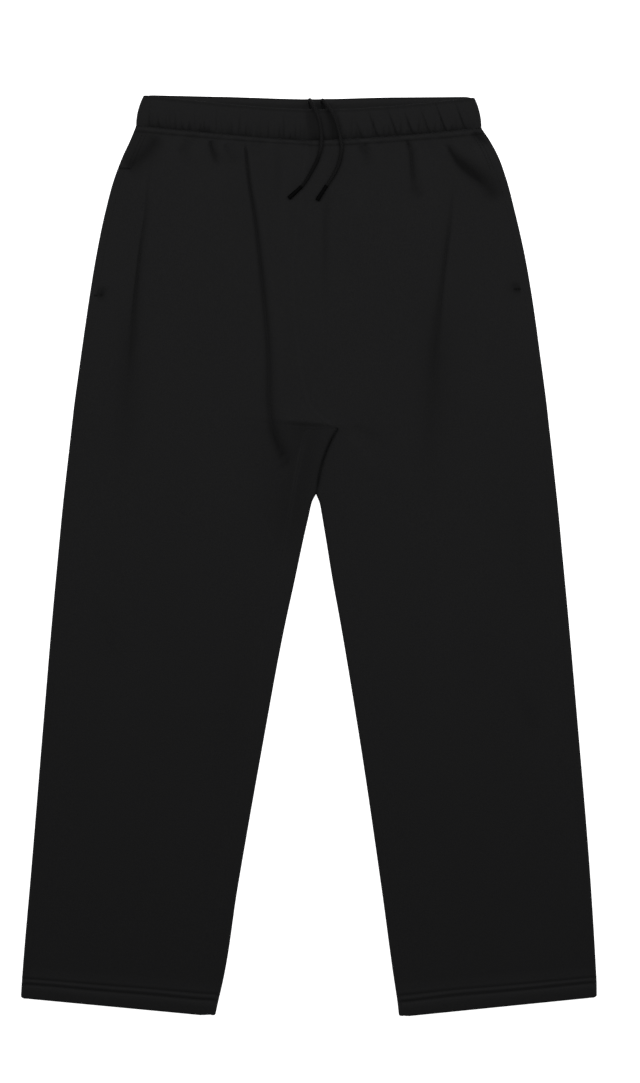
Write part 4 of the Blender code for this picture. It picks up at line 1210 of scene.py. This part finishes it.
def waistband(band):
    """One loop: puckered front, a fold at each side and a flat back."""
    level = band_levels(band.rows)
    across = np.linspace(-1.0, 1.0, band.columns)[None, :]
    x = across * (band_half_widths(across, level) - band_radii(level))
    grid = np.concatenate((band_front(x, level, band), band_turn(LEFT, level),
                           band_back(x[:, ::-2], level, band), band_turn(RIGHT, level)), axis=1)
    roll = np.zeros((band.rows, 1))
    roll[0] = 1.0
    hollow = np.zeros(grid.shape[:2])
    hollow[:, :band.columns], hollow[:, band.columns:] = painted_band_shade(x, level, band)
    return cloth_shell("waistband_fleece", grid, band_walls(grid, level, band), roll, hollow,
                       loop=True, flip=True)


def transported_frames(centre):
    """Two unit vectors across a curve at each of its places, turning with it and not about it."""
    along = unit(np.gradient(centre, axis=0))
    across = np.cross(along[0], (0.0, 0.0, 1.0))
    frames = []
    for direction in along:
        across = unit(across - direction * (across @ direction))
        frames.append((across, np.cross(direction, across)))
    return np.array(frames)


def drawcord(side, settings):
    """A round braided cord along its route, its strands over and under each other. Its colour is
    darkened as painted shade between the strands and as painted shadow where it starts behind the
    band, and is darker on its lower part.
    """
    centre = smooth_run(CORD_ROUTES[side], settings.diameter / 12)
    frames = transported_frames(centre)
    sides = 8 * settings.strands
    angle = 2.0 * np.pi * np.arange(sides) / sides
    along = lengths_along(centre)[:, None]
    turn = along / settings.pitch * 2.0 * np.pi
    over = np.cos(settings.strands * angle + turn)
    under = np.cos(settings.strands * angle - turn)
    plait = np.maximum(over, under)
    radius = settings.diameter / 2 - settings.relief * (1.0 - plait) / 2
    share = along / along[-1]
    radius = radius * mix(1.0, CORD_TAPER, ramp(share, 0.70, 1.0))
    ring = (frames[:, None, 0] * np.cos(angle)[None, :, None]
            + frames[:, None, 1] * np.sin(angle)[None, :, None])
    grid = centre[:, None] + ring * radius[..., None]
    faces = grid_quads(np.ones(grid.shape[:2], bool), loop=True).tolist()
    count = grid.shape[0] * sides
    ends = range(sides), range(count - sides, count)
    faces.append(list(ends[0]))
    faces.append(list(reversed(ends[1])))
    cord = smooth_piece(f"drawcord_{SIDE_NAMES[side]}_braid", grid.reshape(-1, 3), faces)
    # Darker on the lower part of the cord, and a painted shadow at its start behind the band
    shadow_and_darkening = mix(1.0, CORD_TONES[side], ramp(share, 0.60, 0.74))
    shadow_and_darkening *= mix(CORD_START_SHADOW, 1.0, ramp(share, 0.15, 0.24))
    set_attribute(cord, "plait", (plait * 0.5 + 0.5) * shadow_and_darkening)
    return cord, centre


def deselect_all():
    if bpy.context.object and bpy.context.object.mode != "OBJECT":
        bpy.ops.object.mode_set(mode="OBJECT")
    bpy.ops.object.select_all(action="DESELECT")


def select_ring(piece, low, high):
    """Select a piece's vertices between two heights, in edit mode."""
    bpy.ops.object.mode_set(mode="OBJECT")
    for vertex in piece.data.vertices:
        vertex.select = low <= vertex.co.z <= high
    bpy.ops.object.mode_set(mode="EDIT")


def cord_tip(side, settings):
    """A crimped sleeve on the cord's end: rings pressed in near the cord, edges broken."""
    deselect_all()
    length, radius = settings.tip_length, settings.tip_diameter / 2
    bpy.ops.mesh.primitive_cylinder_add(vertices=28, radius=radius, depth=length,
                                        location=(0.0, 0.0, length / 2))
    tip = bpy.context.object
    tip.name = tip.data.name = f"cord_tip_{SIDE_NAMES[side]}_sleeve"
    bpy.ops.object.transform_apply(location=True, rotation=False, scale=False)
    bpy.ops.object.mode_set(mode="EDIT")
    for share in (crimp + aside for crimp in TIP_CRIMPS for aside in (-0.05, 0.0, 0.05)):
        bpy.ops.mesh.select_all(action="SELECT")
        bpy.ops.mesh.bisect(plane_co=(0.0, 0.0, length * share), plane_no=(0.0, 0.0, 1.0))
    for share in TIP_CRIMPS:
        bpy.ops.mesh.select_all(action="DESELECT")
        select_ring(tip, length * (share - 0.01), length * (share + 0.01))
        bpy.ops.transform.resize(value=(settings.crimp, settings.crimp, 1.0),
                                 center_override=(0.0, 0.0, length * share))
    for end in (0.0, length):
        bpy.ops.mesh.select_all(action="DESELECT")
        select_ring(tip, end - 0.0001, end + 0.0001)
        bpy.ops.transform.resize(value=(settings.flare, settings.flare, 1.0),
                                 center_override=(0.0, 0.0, end))
    bpy.ops.object.mode_set(mode="OBJECT")
    edges = tip.modifiers.new("broken_edges", "BEVEL")
    edges.width = settings.tip_chamfer
    edges.segments = 3
    edges.limit_method = "ANGLE"
    edges.angle_limit = math.radians(60)
    bpy.ops.object.modifier_apply(modifier=edges.name)
    bpy.ops.object.shade_smooth_by_angle(angle=math.radians(50))
    aim = Vector(TIP_AIMS[side]).normalized()
    tip.location = Vector(CORD_ROUTES[side][-1]) + aim * TIP_GAP
    tip.rotation_euler = aim.to_track_quat("Z", "Y").to_euler()
    bpy.ops.object.transform_apply(location=True, rotation=True, scale=True)
    return tip


def rolled(corners):
    """A face's corners, started at the first in number, so that faces can be put in order."""
    first = corners.index(min(corners))
    return corners[first:] + corners[:first]


def one_stitch(settings):
    """The places and faces of one stitch: a short thread, thick in its middle, along X."""
    deselect_all()
    bpy.ops.mesh.primitive_uv_sphere_add(segments=6, ring_count=4, radius=0.5)
    ball = bpy.context.object
    bpy.ops.object.mode_set(mode="EDIT")
    bpy.ops.mesh.select_all(action="SELECT")
    bpy.ops.transform.rotate(value=math.pi / 2, orient_axis="Y", center_override=(0, 0, 0))
    bpy.ops.transform.resize(value=(settings.length, settings.thickness, settings.thickness),
                             center_override=(0, 0, 0))
    bpy.ops.object.mode_set(mode="OBJECT")
    places = np.array([vertex.co for vertex in ball.data.vertices])
    faces = sorted(rolled(list(face.vertices)) for face in ball.data.polygons)
    mesh = ball.data
    bpy.data.objects.remove(ball)
    bpy.data.meshes.remove(mesh)
    return places, faces


def along_run(run, normals, pitch):
    """Places, directions and normals at even steps along a run in space."""
    done = lengths_along(run)
    marks = np.arange(pitch / 2, done[-1], pitch)

    def at(places, table):
        return np.column_stack([np.interp(places, done, column) for column in table.T])

    along = unit(at(marks + THREAD_SPAN, run) - at(marks - THREAD_SPAN, run))
    across = unit(np.cross(at(marks, normals), along))
    return at(marks, run), along, across, np.cross(along, across)


def stitched(name, runs, settings):
    """One mesh with a stitch at every step along all runs."""
    shape, faces = one_stitch(settings)
    all_places, all_faces, count = [], [], 0
    for run, normals in runs:
        places, along, across, up = along_run(run, normals, settings.pitch)
        turned_shape = (places[:, None] + shape[None, :, :1] * along[:, None]
                        + shape[None, :, 1:2] * across[:, None] + shape[None, :, 2:] * up[:, None])
        all_places.append(turned_shape.reshape(-1, 3))
        for _ in places:
            all_faces += [[corner + count for corner in face] for face in faces]
            count += len(shape)
    return smooth_piece(name, np.vstack(all_places), all_faces)


def row_runs(side, height, cloth, thickness):
    """A line of thread all round one side on a row: on the front and round the back panel."""
    runs = []
    around = np.array((height + THREAD_SPAN, height, height - THREAD_SPAN))
    for grid, flip in ((front_grid(side, around, cloth), side == RIGHT),
                       (back_row(side, around, cloth), side == LEFT)):
        run, normals = (row[1] for row in on_cloth(grid, flip, thickness))
        runs.append((run[1:-1], normals[1:-1]))
    return runs


def on_cloth(grid, flip, thickness):
    """The points of a grid, each raised by a thread pulled into the cloth, and its normals."""
    quads = grid_quads(np.ones(grid.shape[:2], bool))
    normals = normals_of(grid.reshape(-1, 3), quads[:, ::-1] if flip else quads)
    normals = normals.reshape(grid.shape)
    return grid + normals * thickness * THREAD_RISE, normals


def back_row(side, around, cloth):
    """The points of a back panel on a few rows, without those that a row lacks."""
    grid = back_grid(side, around, cloth)
    return grid[:, ~np.isnan(grid[..., 0]).any(axis=0)]


def column_runs(side, heights, inset, cloth, thickness):
    """A line of thread down the garment's top at a distance from the outer edge of each row."""
    rows = rows_at(side, heights)
    insets = np.full((len(heights), 1), inset) + np.array((-THREAD_SIDE, 0.0, THREAD_SIDE))
    grid = raised(row_places(rows, rows.top_end, insets), heights, side, cloth)
    return tuple(column[:, 1] for column in on_cloth(grid, side == RIGHT, thickness))


def sewing_runs(side, cloth, thickness):
    """Every line of thread on one side of the garment."""
    runs = []
    bottom = LEGS[side][-1].outer_y
    waist = WAIST_Y[side]
    for height in [waist - line for line in WAIST_LINES] + [bottom + line for line in HEM_LINES]:
        runs += row_runs(side, height, cloth, thickness)
    heights = steps_down(waist - 0.009, POCKET_TOP_Y, 0.002)
    for line in POCKET_LINES:
        runs.append(column_runs(side, heights, SIDE_WRAP + line, cloth, thickness))
    return runs


def bar_tack(bar, cloth, settings):
    """A bar of close thread laid to and fro across the end of a pocket mouth."""
    xs = np.arange(-bar.length / 2, bar.length / 2, settings.thickness * 0.9)
    runs = []
    for index, x in enumerate(xs):
        lean = TACK_LEAN if index % 2 else -TACK_LEAN
        spots = np.array(((bar.x + x - lean, bar.y - TACK_HALF_STITCH),
                          (bar.x + x + lean, bar.y + TACK_HALF_STITCH)))
        z = top_heights(spots, spots[:, 1], bar.side, cloth).max() + settings.thickness * 0.3
        run = np.column_stack((spots, (z, z)))
        runs.append((run, np.array(((0.0, 0.0, 1.0),) * 2)))
    return runs


class Finish:
    """A material in the making: its nodes, its surface and its object coordinates."""

    def __init__(self, name, roughness, specular):
        self.material = bpy.data.materials.new(name)
        self.material.use_nodes = True
        self.nodes = self.material.node_tree.nodes
        self.shader = self.nodes["Principled BSDF"]
        self.place = self.nodes.new("ShaderNodeTexCoord").outputs["Object"]
        self.adjust(self.shader, roughness=roughness, specular_ior_level=specular)

    def link(self, output, entry):
        self.material.node_tree.links.new(output, entry)

    def adjust(self, node, **values):
        """Set a node's sockets, each by its name in small letters with underscores."""
        for entry in node.inputs:
            key = entry.name.lower().replace(" ", "_")
            if entry.enabled and key in values:
                entry.default_value = values[key]

    def node(self, kind, **values):
        node = self.nodes.new("ShaderNode" + kind)
        self.adjust(node, **values)
        return node

    def grain(self, scale, stretch=(1.0, 1.0, 1.0), detail=2.0):
        """Noise over the piece."""
        mapping = self.node("Mapping", scale=stretch)
        self.link(self.place, mapping.inputs["Vector"])
        noise_node = self.node("TexNoise", scale=scale, detail=detail, roughness=0.55)
        self.link(mapping.outputs["Vector"], noise_node.inputs["Vector"])
        return noise_node.outputs["Fac"]

    def attribute(self, name):
        node = self.node("Attribute")
        node.attribute_name = name
        return node.outputs["Fac"]

    def blend(self, factor, low, high, start=0.3, end=0.7):
        """A colour that goes from low to high as the factor goes from start to end."""
        node = self.node("ValToRGB")
        for element, position, colour in zip(node.color_ramp.elements, (start, end), (low, high)):
            element.position = position
            element.color = (*colour, 1.0)
        self.link(factor, node.inputs["Fac"])
        return node.outputs["Color"]

    def multiplied(self, first, second):
        node = self.node("Mix")
        node.data_type = "RGBA"
        node.blend_type = "MULTIPLY"
        node.inputs["Factor"].default_value = 1.0
        self.link(first, node.inputs["A"])
        self.link(second, node.inputs["B"])
        return node.outputs["Result"]

    def bump(self, height, distance, under=None):
        node = self.node("Bump", distance=distance, strength=1.0)
        self.link(height, node.inputs["Height"])
        if under is not None:
            self.link(under, node.inputs["Normal"])
        return node.outputs["Normal"]

    def done(self, tone, normal=None):
        self.link(tone, self.shader.inputs["Base Color"])
        if normal is not None:
            self.link(normal, self.shader.inputs["Normal"])
        return self.material


def darker(colour, share):
    return [channel * share for channel in colour]


def fleece(name, cloth):
    """Brushed fleece: matt, clumped nap, slightly cloudy where the nap lies another way, with
    shade painted into its colour in creases, puckers and sewing dips and highlight painted on
    ridges and sewing rises.
    """
    finish = Finish(name, 0.95, 0.12)
    finish.adjust(finish.shader, sheen_weight=cloth.sheen, sheen_roughness=0.6,
                  sheen_tint=(0.8, 0.82, 0.86, 1.0))
    clouds = finish.grain(9.0, (1.0, 0.6, 1.0), 4.0)
    clumps = finish.grain(800.0, (1.0, 0.7, 1.0), 3.0)
    fibres = finish.grain(1500.0, (1.0, 0.35, 1.0))
    tone = finish.blend(clumps, cloth.colour_deep, cloth.colour_light)
    tone = finish.multiplied(tone, finish.blend(clouds, (0.95, 0.95, 0.95), (1.0, 1.0, 1.0)))
    # Painted shade and highlight: the hollow attribute darkens the colour in creases, puckers and
    # sewing dips and lightens it on ridges and sewing rises
    shade = finish.node("MapRange", from_min=FULLEST_RIDGE,
                        to_min=1.0 + (1.0 - cloth.painted_shade_share) / 2, to_max=cloth.painted_shade_share)
    finish.link(finish.attribute("hollow"), shade.inputs["Value"])
    nap = finish.bump(clumps, cloth.nap_height)
    return finish.done(finish.multiplied(tone, shade.outputs["Result"]),
                       finish.bump(fibres, cloth.nap_height * 0.4, nap))


def thread_finish(settings):
    finish = Finish("thread", 0.8, 0.08)
    twist = finish.grain(2200.0, detail=1.0)
    tone = finish.blend(twist, darker(settings.colour, 0.6), settings.colour)
    return finish.done(tone, finish.bump(twist, 0.0001))


def cord_finish(settings):
    finish = Finish("braided_cord", 0.9, 0.1)
    fibres = finish.grain(2600.0)
    # The plait attribute darkens the colour as painted shade between the strands, as painted shadow
    # at the cord's start, and on its lower part
    tone = finish.blend(finish.attribute("plait"), darker(settings.colour, 0.15),
                        settings.colour, 0.0, 1.0)
    fuzz = finish.blend(fibres, (0.8, 0.8, 0.8), (1.0, 1.0, 1.0))
    return finish.done(finish.multiplied(tone, fuzz), finish.bump(fibres, 0.00012))


def tip_finish(settings):
    finish = Finish("moulded_tip", 0.7, 0.04)
    grain = finish.grain(1800.0)
    tone = finish.blend(grain, darker(settings.tip_colour, 0.7), settings.tip_colour)
    return finish.done(tone, finish.bump(grain, 0.00003))


def pocketing_finish():
    """Plain woven pocket cloth: threads up and across as two sets of fine waves."""
    finish = Finish("woven_pocketing", 0.85, 0.2)
    weave = finish.node("Math")
    weave.operation = "MULTIPLY"
    for direction, entry in zip("XY", weave.inputs):
        threads = finish.node("TexWave", scale=320.0, distortion=0.6)
        threads.bands_direction = direction
        finish.link(finish.place, threads.inputs["Vector"])
        finish.link(threads.outputs["Fac"], entry)
    height = weave.outputs["Value"]
    tone = finish.blend(height, (0.006, 0.006, 0.0062), (0.013, 0.013, 0.0134), 0.0, 1.0)
    return finish.done(tone, finish.bump(height, 0.0001))


def floor_finish(stage):
    finish = Finish("studio_floor", 0.9, 0.1)
    finish.adjust(finish.shader, emission_color=(1.0, 1.0, 1.0, 1.0),
                  emission_strength=stage.floor_glow)
    haze = finish.grain(3.0)
    return finish.done(finish.blend(haze, darker(stage.floor_colour, 0.985), stage.floor_colour))


def dressed(piece, material, slot, *nodes):
    """Give a finished piece its material and its body, and hide the parts of the model that it
    stands for. The slot is not used.
    """
    piece.data.materials.clear()
    piece.data.materials.append(material)
    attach(piece, "root")
    if nodes:
        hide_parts(*nodes)
    return piece


def area_light(name, place, aim, size, power):
    light = bpy.data.lights.new(name, "AREA")
    light.shape = "RECTANGLE"
    light.size, light.size_y = size
    light.energy = power
    lamp = bpy.data.objects.new(name, light)
    lamp.location = place
    lamp.rotation_euler = (Vector(aim) - Vector(place)).to_track_quat("-Z", "Y").to_euler()
    bpy.context.scene.collection.objects.link(lamp)
    return lamp


def camera_above(stage):
    """A camera that looks straight down on the garment."""
    data = bpy.data.cameras.new("camera")
    data.sensor_width = SENSOR_WIDTH
    data.lens = stage.lens
    camera = bpy.data.objects.new("camera", data)
    height = stage.view_height * stage.lens / SENSOR_WIDTH + LEG_HEIGHT
    camera.location = (*stage.centre, height)
    bpy.context.scene.collection.objects.link(camera)
    return camera


def studio_floor(stage):
    """A pale floor that throws no light up on the cloth."""
    deselect_all()
    bpy.ops.mesh.primitive_plane_add(size=FLOOR_SIZE, location=(0.0, 0.0, FLOOR_Z))
    floor = bpy.context.object
    floor.name = floor.data.name = "floor"
    floor.data.materials.append(floor_finish(stage))
    floor.visible_diffuse = False


def even_light(stage):
    """A world that gives the same soft white light from all round."""
    world = bpy.data.worlds.new("studio")
    world.use_nodes = True
    background = world.node_tree.nodes["Background"]
    background.inputs["Color"].default_value = (1.0, 1.0, 1.0, 1.0)
    background.inputs["Strength"].default_value = stage.ambient
    return world


def size_setting(name, description, default, low, high):
    return bpy.props.FloatProperty(
        name=name, description=description, default=default, min=low, max=high,
        subtype="DISTANCE", unit="LENGTH", precision=4)


def share_setting(name, description, default, low=0.0, high=1.0):
    return bpy.props.FloatProperty(name=name, description=description, default=default,
                                   min=low, max=high, subtype="FACTOR")


def count_setting(name, description, default, low, high):
    return bpy.props.IntProperty(name=name, description=description, default=default, min=low,
                                 max=high)


def colour_setting(name, description, default):
    return bpy.props.FloatVectorProperty(name=name, description=description, default=default,
                                         min=0.0, max=1.0, subtype="COLOR")


class ClothSettings(bpy.types.PropertyGroup):
    """Sizes and finish of the fleece"""

    wall: size_setting("Cloth", "Thickness of the fleece", 0.0024, 0.001, 0.004)
    hem_wall: size_setting("Hem", "Thickness of the doubled hem", 0.0042, 0.002, 0.006)
    crease_share: share_setting("Crease depth", "Share of the creases' full depth", 1.0, 0.0, 1.2)
    gathers: count_setting("Gathers", "Short creases that hang from the waist seam", 56, 0, 80)
    gather_depth: size_setting("Gather depth", "Depth of the deepest short crease", 0.0014, 0.0,
                               0.002)
    unevenness: size_setting("Unevenness", "Height of the broad waves in the lie of the cloth",
                             0.0005, 0.0, 0.001)
    seed: count_setting("Seed", "Start of the random draws for the gathers", 7, 0, 999)
    nap_height: size_setting("Nap", "Height of the brushed surface", 0.0003, 0.0, 0.002)
    # Painted shade: the share of its colour that the cloth keeps in a full crease; the same setting
    # sets the painted highlight on ridges
    painted_shade_share: share_setting("Painted crease shade", "Share of its colour that the nap keeps in a crease",
                              0.36, 0.2)
    sheen: share_setting("Sheen", "Weight of the light that the nap scatters", 0.012)
    colour_deep: colour_setting("Deep colour", "Colour between the clumps of the nap",
                                (0.0094, 0.0094, 0.0097))
    colour_light: colour_setting("Light colour", "Colour on the clumps of the nap",
                                 (0.0122, 0.0122, 0.0125))


class BandSettings(bpy.types.PropertyGroup):
    """Sizes of the elasticated waistband"""

    wall: size_setting("Band", "Thickness of the band with its elastic", 0.0048, 0.002, 0.005)
    puckers: count_setting("Puckers", "Puckers along the front of the band", 60, 0, 90)
    pucker_depth: size_setting("Pucker depth", "Depth of the deepest pucker at the lower seam",
                               0.0032, 0.0, 0.004)
    rows: count_setting("Rows", "Rows of points up the band", 29, 8, 60)
    columns: count_setting("Columns", "Points across the front of the band", 721, 51, 901)
    seed: count_setting("Seed", "Start of the random draws for the puckers", 21, 0, 999)


class SewingSettings(bpy.types.PropertyGroup):
    """Sizes and colour of the thread"""

    length: size_setting("Stitch", "Length of one stitch", 0.0026, 0.001, 0.006)
    pitch: size_setting("Pitch", "From one stitch to the next", 0.0033, 0.001, 0.008)
    thickness: size_setting("Thread", "Thickness of the thread", 0.0005, 0.0002, 0.001)
    colour: colour_setting("Colour", "Colour of the thread", (0.0095, 0.0095, 0.0097))


class CordSettings(bpy.types.PropertyGroup):
    """Sizes and colours of the drawcord and its tips"""

    diameter: size_setting("Cord", "Diameter of the drawcord", 0.0042, 0.002, 0.008)
    strands: count_setting("Strands", "Strands that wind each way round the braid", 4, 2, 8)
    pitch: size_setting("Pitch", "Length of one repeat of the braid", 0.0038, 0.001, 0.02)
    relief: size_setting("Relief", "Depth between the strands", 0.0004, 0.0, 0.001)
    colour: colour_setting("Colour", "Colour of the cord", (0.0112, 0.0112, 0.0115))
    tip_length: size_setting("Tip", "Length of each tip", 0.0195, 0.01, 0.03)
    tip_diameter: size_setting("Tip diameter", "Diameter of each tip", 0.0043, 0.004, 0.008)
    tip_chamfer: size_setting("Tip edge", "Width of the broken edges of each tip", 0.0005, 0.0,
                              0.001)
    crimp: share_setting("Crimp", "Share of the diameter left where a tip is crimped", 0.88, 0.7)
    flare: share_setting("Flare", "How much wider a tip is at its ends", 1.16, 1.0, 1.3)
    tip_colour: colour_setting("Tip colour", "Colour of the tips", (0.0010, 0.0010, 0.0011))


class StageSettings(bpy.types.PropertyGroup):
    """Camera, light and floor of the studio"""

    view_height: size_setting("View", "Length of the floor that the camera sees", 1.2455, 0.5,
                              3.0)
    centre: bpy.props.FloatVectorProperty(
        name="Centre", description="Place below the camera", size=2, default=(0.0129, 0.0170),
        subtype="XYZ", unit="LENGTH")
    lens: bpy.props.FloatProperty(
        name="Lens", description="Focal length of the camera in millimetres", default=100.0,
        min=20.0, max=200.0)
    key_power: bpy.props.FloatProperty(
        name="Key", description="Power of the large light beyond the waist", default=23.6,
        min=0.0, subtype="POWER", unit="POWER")
    ambient: share_setting("Ambient", "Strength of the even light from all round", 0.275)
    floor_glow: share_setting("Floor glow", "Light that the floor itself gives", 1.0, 0.0, 2.0)
    floor_colour: colour_setting("Floor", "Colour of the floor", (0.93, 0.93, 0.93))


class PANTS_OT_stage(bpy.types.Operator):
    """Set up the camera, the lights and the pale floor"""

    bl_idname = "track_pants.stage"
    bl_label = "Studio"

    def execute(self, context):
        stage = context.scene.pants_stage
        context.scene.camera = camera_above(stage)
        studio_floor(stage)
        area_light("key_light", KEY_PLACE, KEY_AIM, KEY_SIZE, stage.key_power)
        context.scene.world = even_light(stage)
        context.scene.view_settings.view_transform = "Standard"
        return {"FINISHED"}


class PANTS_OT_drawcord(bpy.types.Operator):
    """Braid both free ends of the drawcord and put a tip on each"""

    bl_idname = "track_pants.drawcord"
    bl_label = "Drawcord"

    def execute(self, context):
        settings = context.scene.pants_cord
        cord_matter, tip_matter = cord_finish(settings), tip_finish(settings)
        for side, word in SIDE_NAMES.items():
            tip = dressed(cord_tip(side, settings), tip_matter, "tip", f"cord_tip_{word}")
            cord, centre = drawcord(side, settings)
            dressed(cord, cord_matter, "cord", f"drawcord_{word}")
        return {"FINISHED"}


class PANTS_OT_waistband(bpy.types.Operator):
    """Make the gathered waistband"""

    bl_idname = "track_pants.waistband"
    bl_label = "Waistband"

    def execute(self, context):
        band = waistband(context.scene.pants_band)
        dressed(band, fleece("band_fleece", context.scene.pants_cloth), "fleece", "waistband")
        return {"FINISHED"}


class PANTS_OT_panels(bpy.types.Operator):
    """Make the front and the back panel of each leg"""

    bl_idname = "track_pants.panels"
    bl_label = "Leg panels"

    def execute(self, context):
        cloth = context.scene.pants_cloth
        for side, word in SIDE_NAMES.items():
            for make, part, cut in ((front_panel, "front", FRONT_CUT),
                                    (back_panel, "back", BACK_CUT)):
                node = f"{part}_panel_{word}"
                panel = dressed(make(side, cloth), fleece(f"{part}_{word}_fleece", cloth),
                                "fleece", node)
        return {"FINISHED"}


class PANTS_OT_pockets(bpy.types.Operator):
    """Give the pocket bags their woven cloth"""

    bl_idname = "track_pants.pockets"
    bl_label = "Pocket bags"

    def execute(self, context):
        matter = pocketing_finish()
        for word in SIDE_NAMES.values():
            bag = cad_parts[f"pocket_bag_{word}"]
            for slot in bag.material_slots:
                slot.material = matter
        return {"FINISHED"}


class PANTS_OT_sewing(bpy.types.Operator):
    """Sew the twin needle lines and the bar tacks"""

    bl_idname = "track_pants.sewing"
    bl_label = "Sewing"

    def execute(self, context):
        cloth, settings = context.scene.pants_cloth, context.scene.pants_sewing
        runs = []
        for side in SIDE_NAMES:
            runs += sewing_runs(side, cloth, settings.thickness)
        for bar in BARS:
            runs += bar_tack(bar, cloth, settings)
        dressed(stitched("topstitching", runs, settings), thread_finish(settings), "fleece")
        return {"FINISHED"}


class PANTS_PT_dresser(bpy.types.Panel):
    """Sizes, colours and steps of the track pants"""

    bl_idname = "PANTS_PT_dresser"
    bl_label = "Track Pants"
    bl_space_type = "VIEW_3D"
    bl_region_type = "UI"
    bl_category = "Track Pants"

    def draw(self, context):
        for step, group in STEPS:
            box = self.layout.box()
            box.operator(step.bl_idname)
            if group:
                settings = getattr(context.scene, group)
                for name in settings.__annotations__:
                    box.prop(settings, name)


SETTINGS = {
    "pants_stage": StageSettings,
    "pants_cord": CordSettings,
    "pants_band": BandSettings,
    "pants_cloth": ClothSettings,
    "pants_sewing": SewingSettings,
}
STEPS = (
    (PANTS_OT_stage, "pants_stage"),
    (PANTS_OT_drawcord, "pants_cord"),
    (PANTS_OT_waistband, "pants_band"),
    (PANTS_OT_panels, "pants_cloth"),
    (PANTS_OT_pockets, None),
    (PANTS_OT_sewing, "pants_sewing"),
)
CLASSES = tuple(SETTINGS.values()) + tuple(step for step, _ in STEPS) + (PANTS_PT_dresser,)


def register():
    for item in CLASSES:
        bpy.utils.register_class(item)
    for name, group in SETTINGS.items():
        setattr(bpy.types.Scene, name, bpy.props.PointerProperty(type=group))


def unregister():
    for name in SETTINGS:
        delattr(bpy.types.Scene, name)
    for item in reversed(CLASSES):
        bpy.utils.unregister_class(item)


def main():
    register()
    bpy.ops.track_pants.stage()
    bpy.ops.track_pants.drawcord()
    bpy.ops.track_pants.waistband()
    bpy.ops.track_pants.panels()
    bpy.ops.track_pants.pockets()
    bpy.ops.track_pants.sewing()


if __name__ == "__main__":
    main()
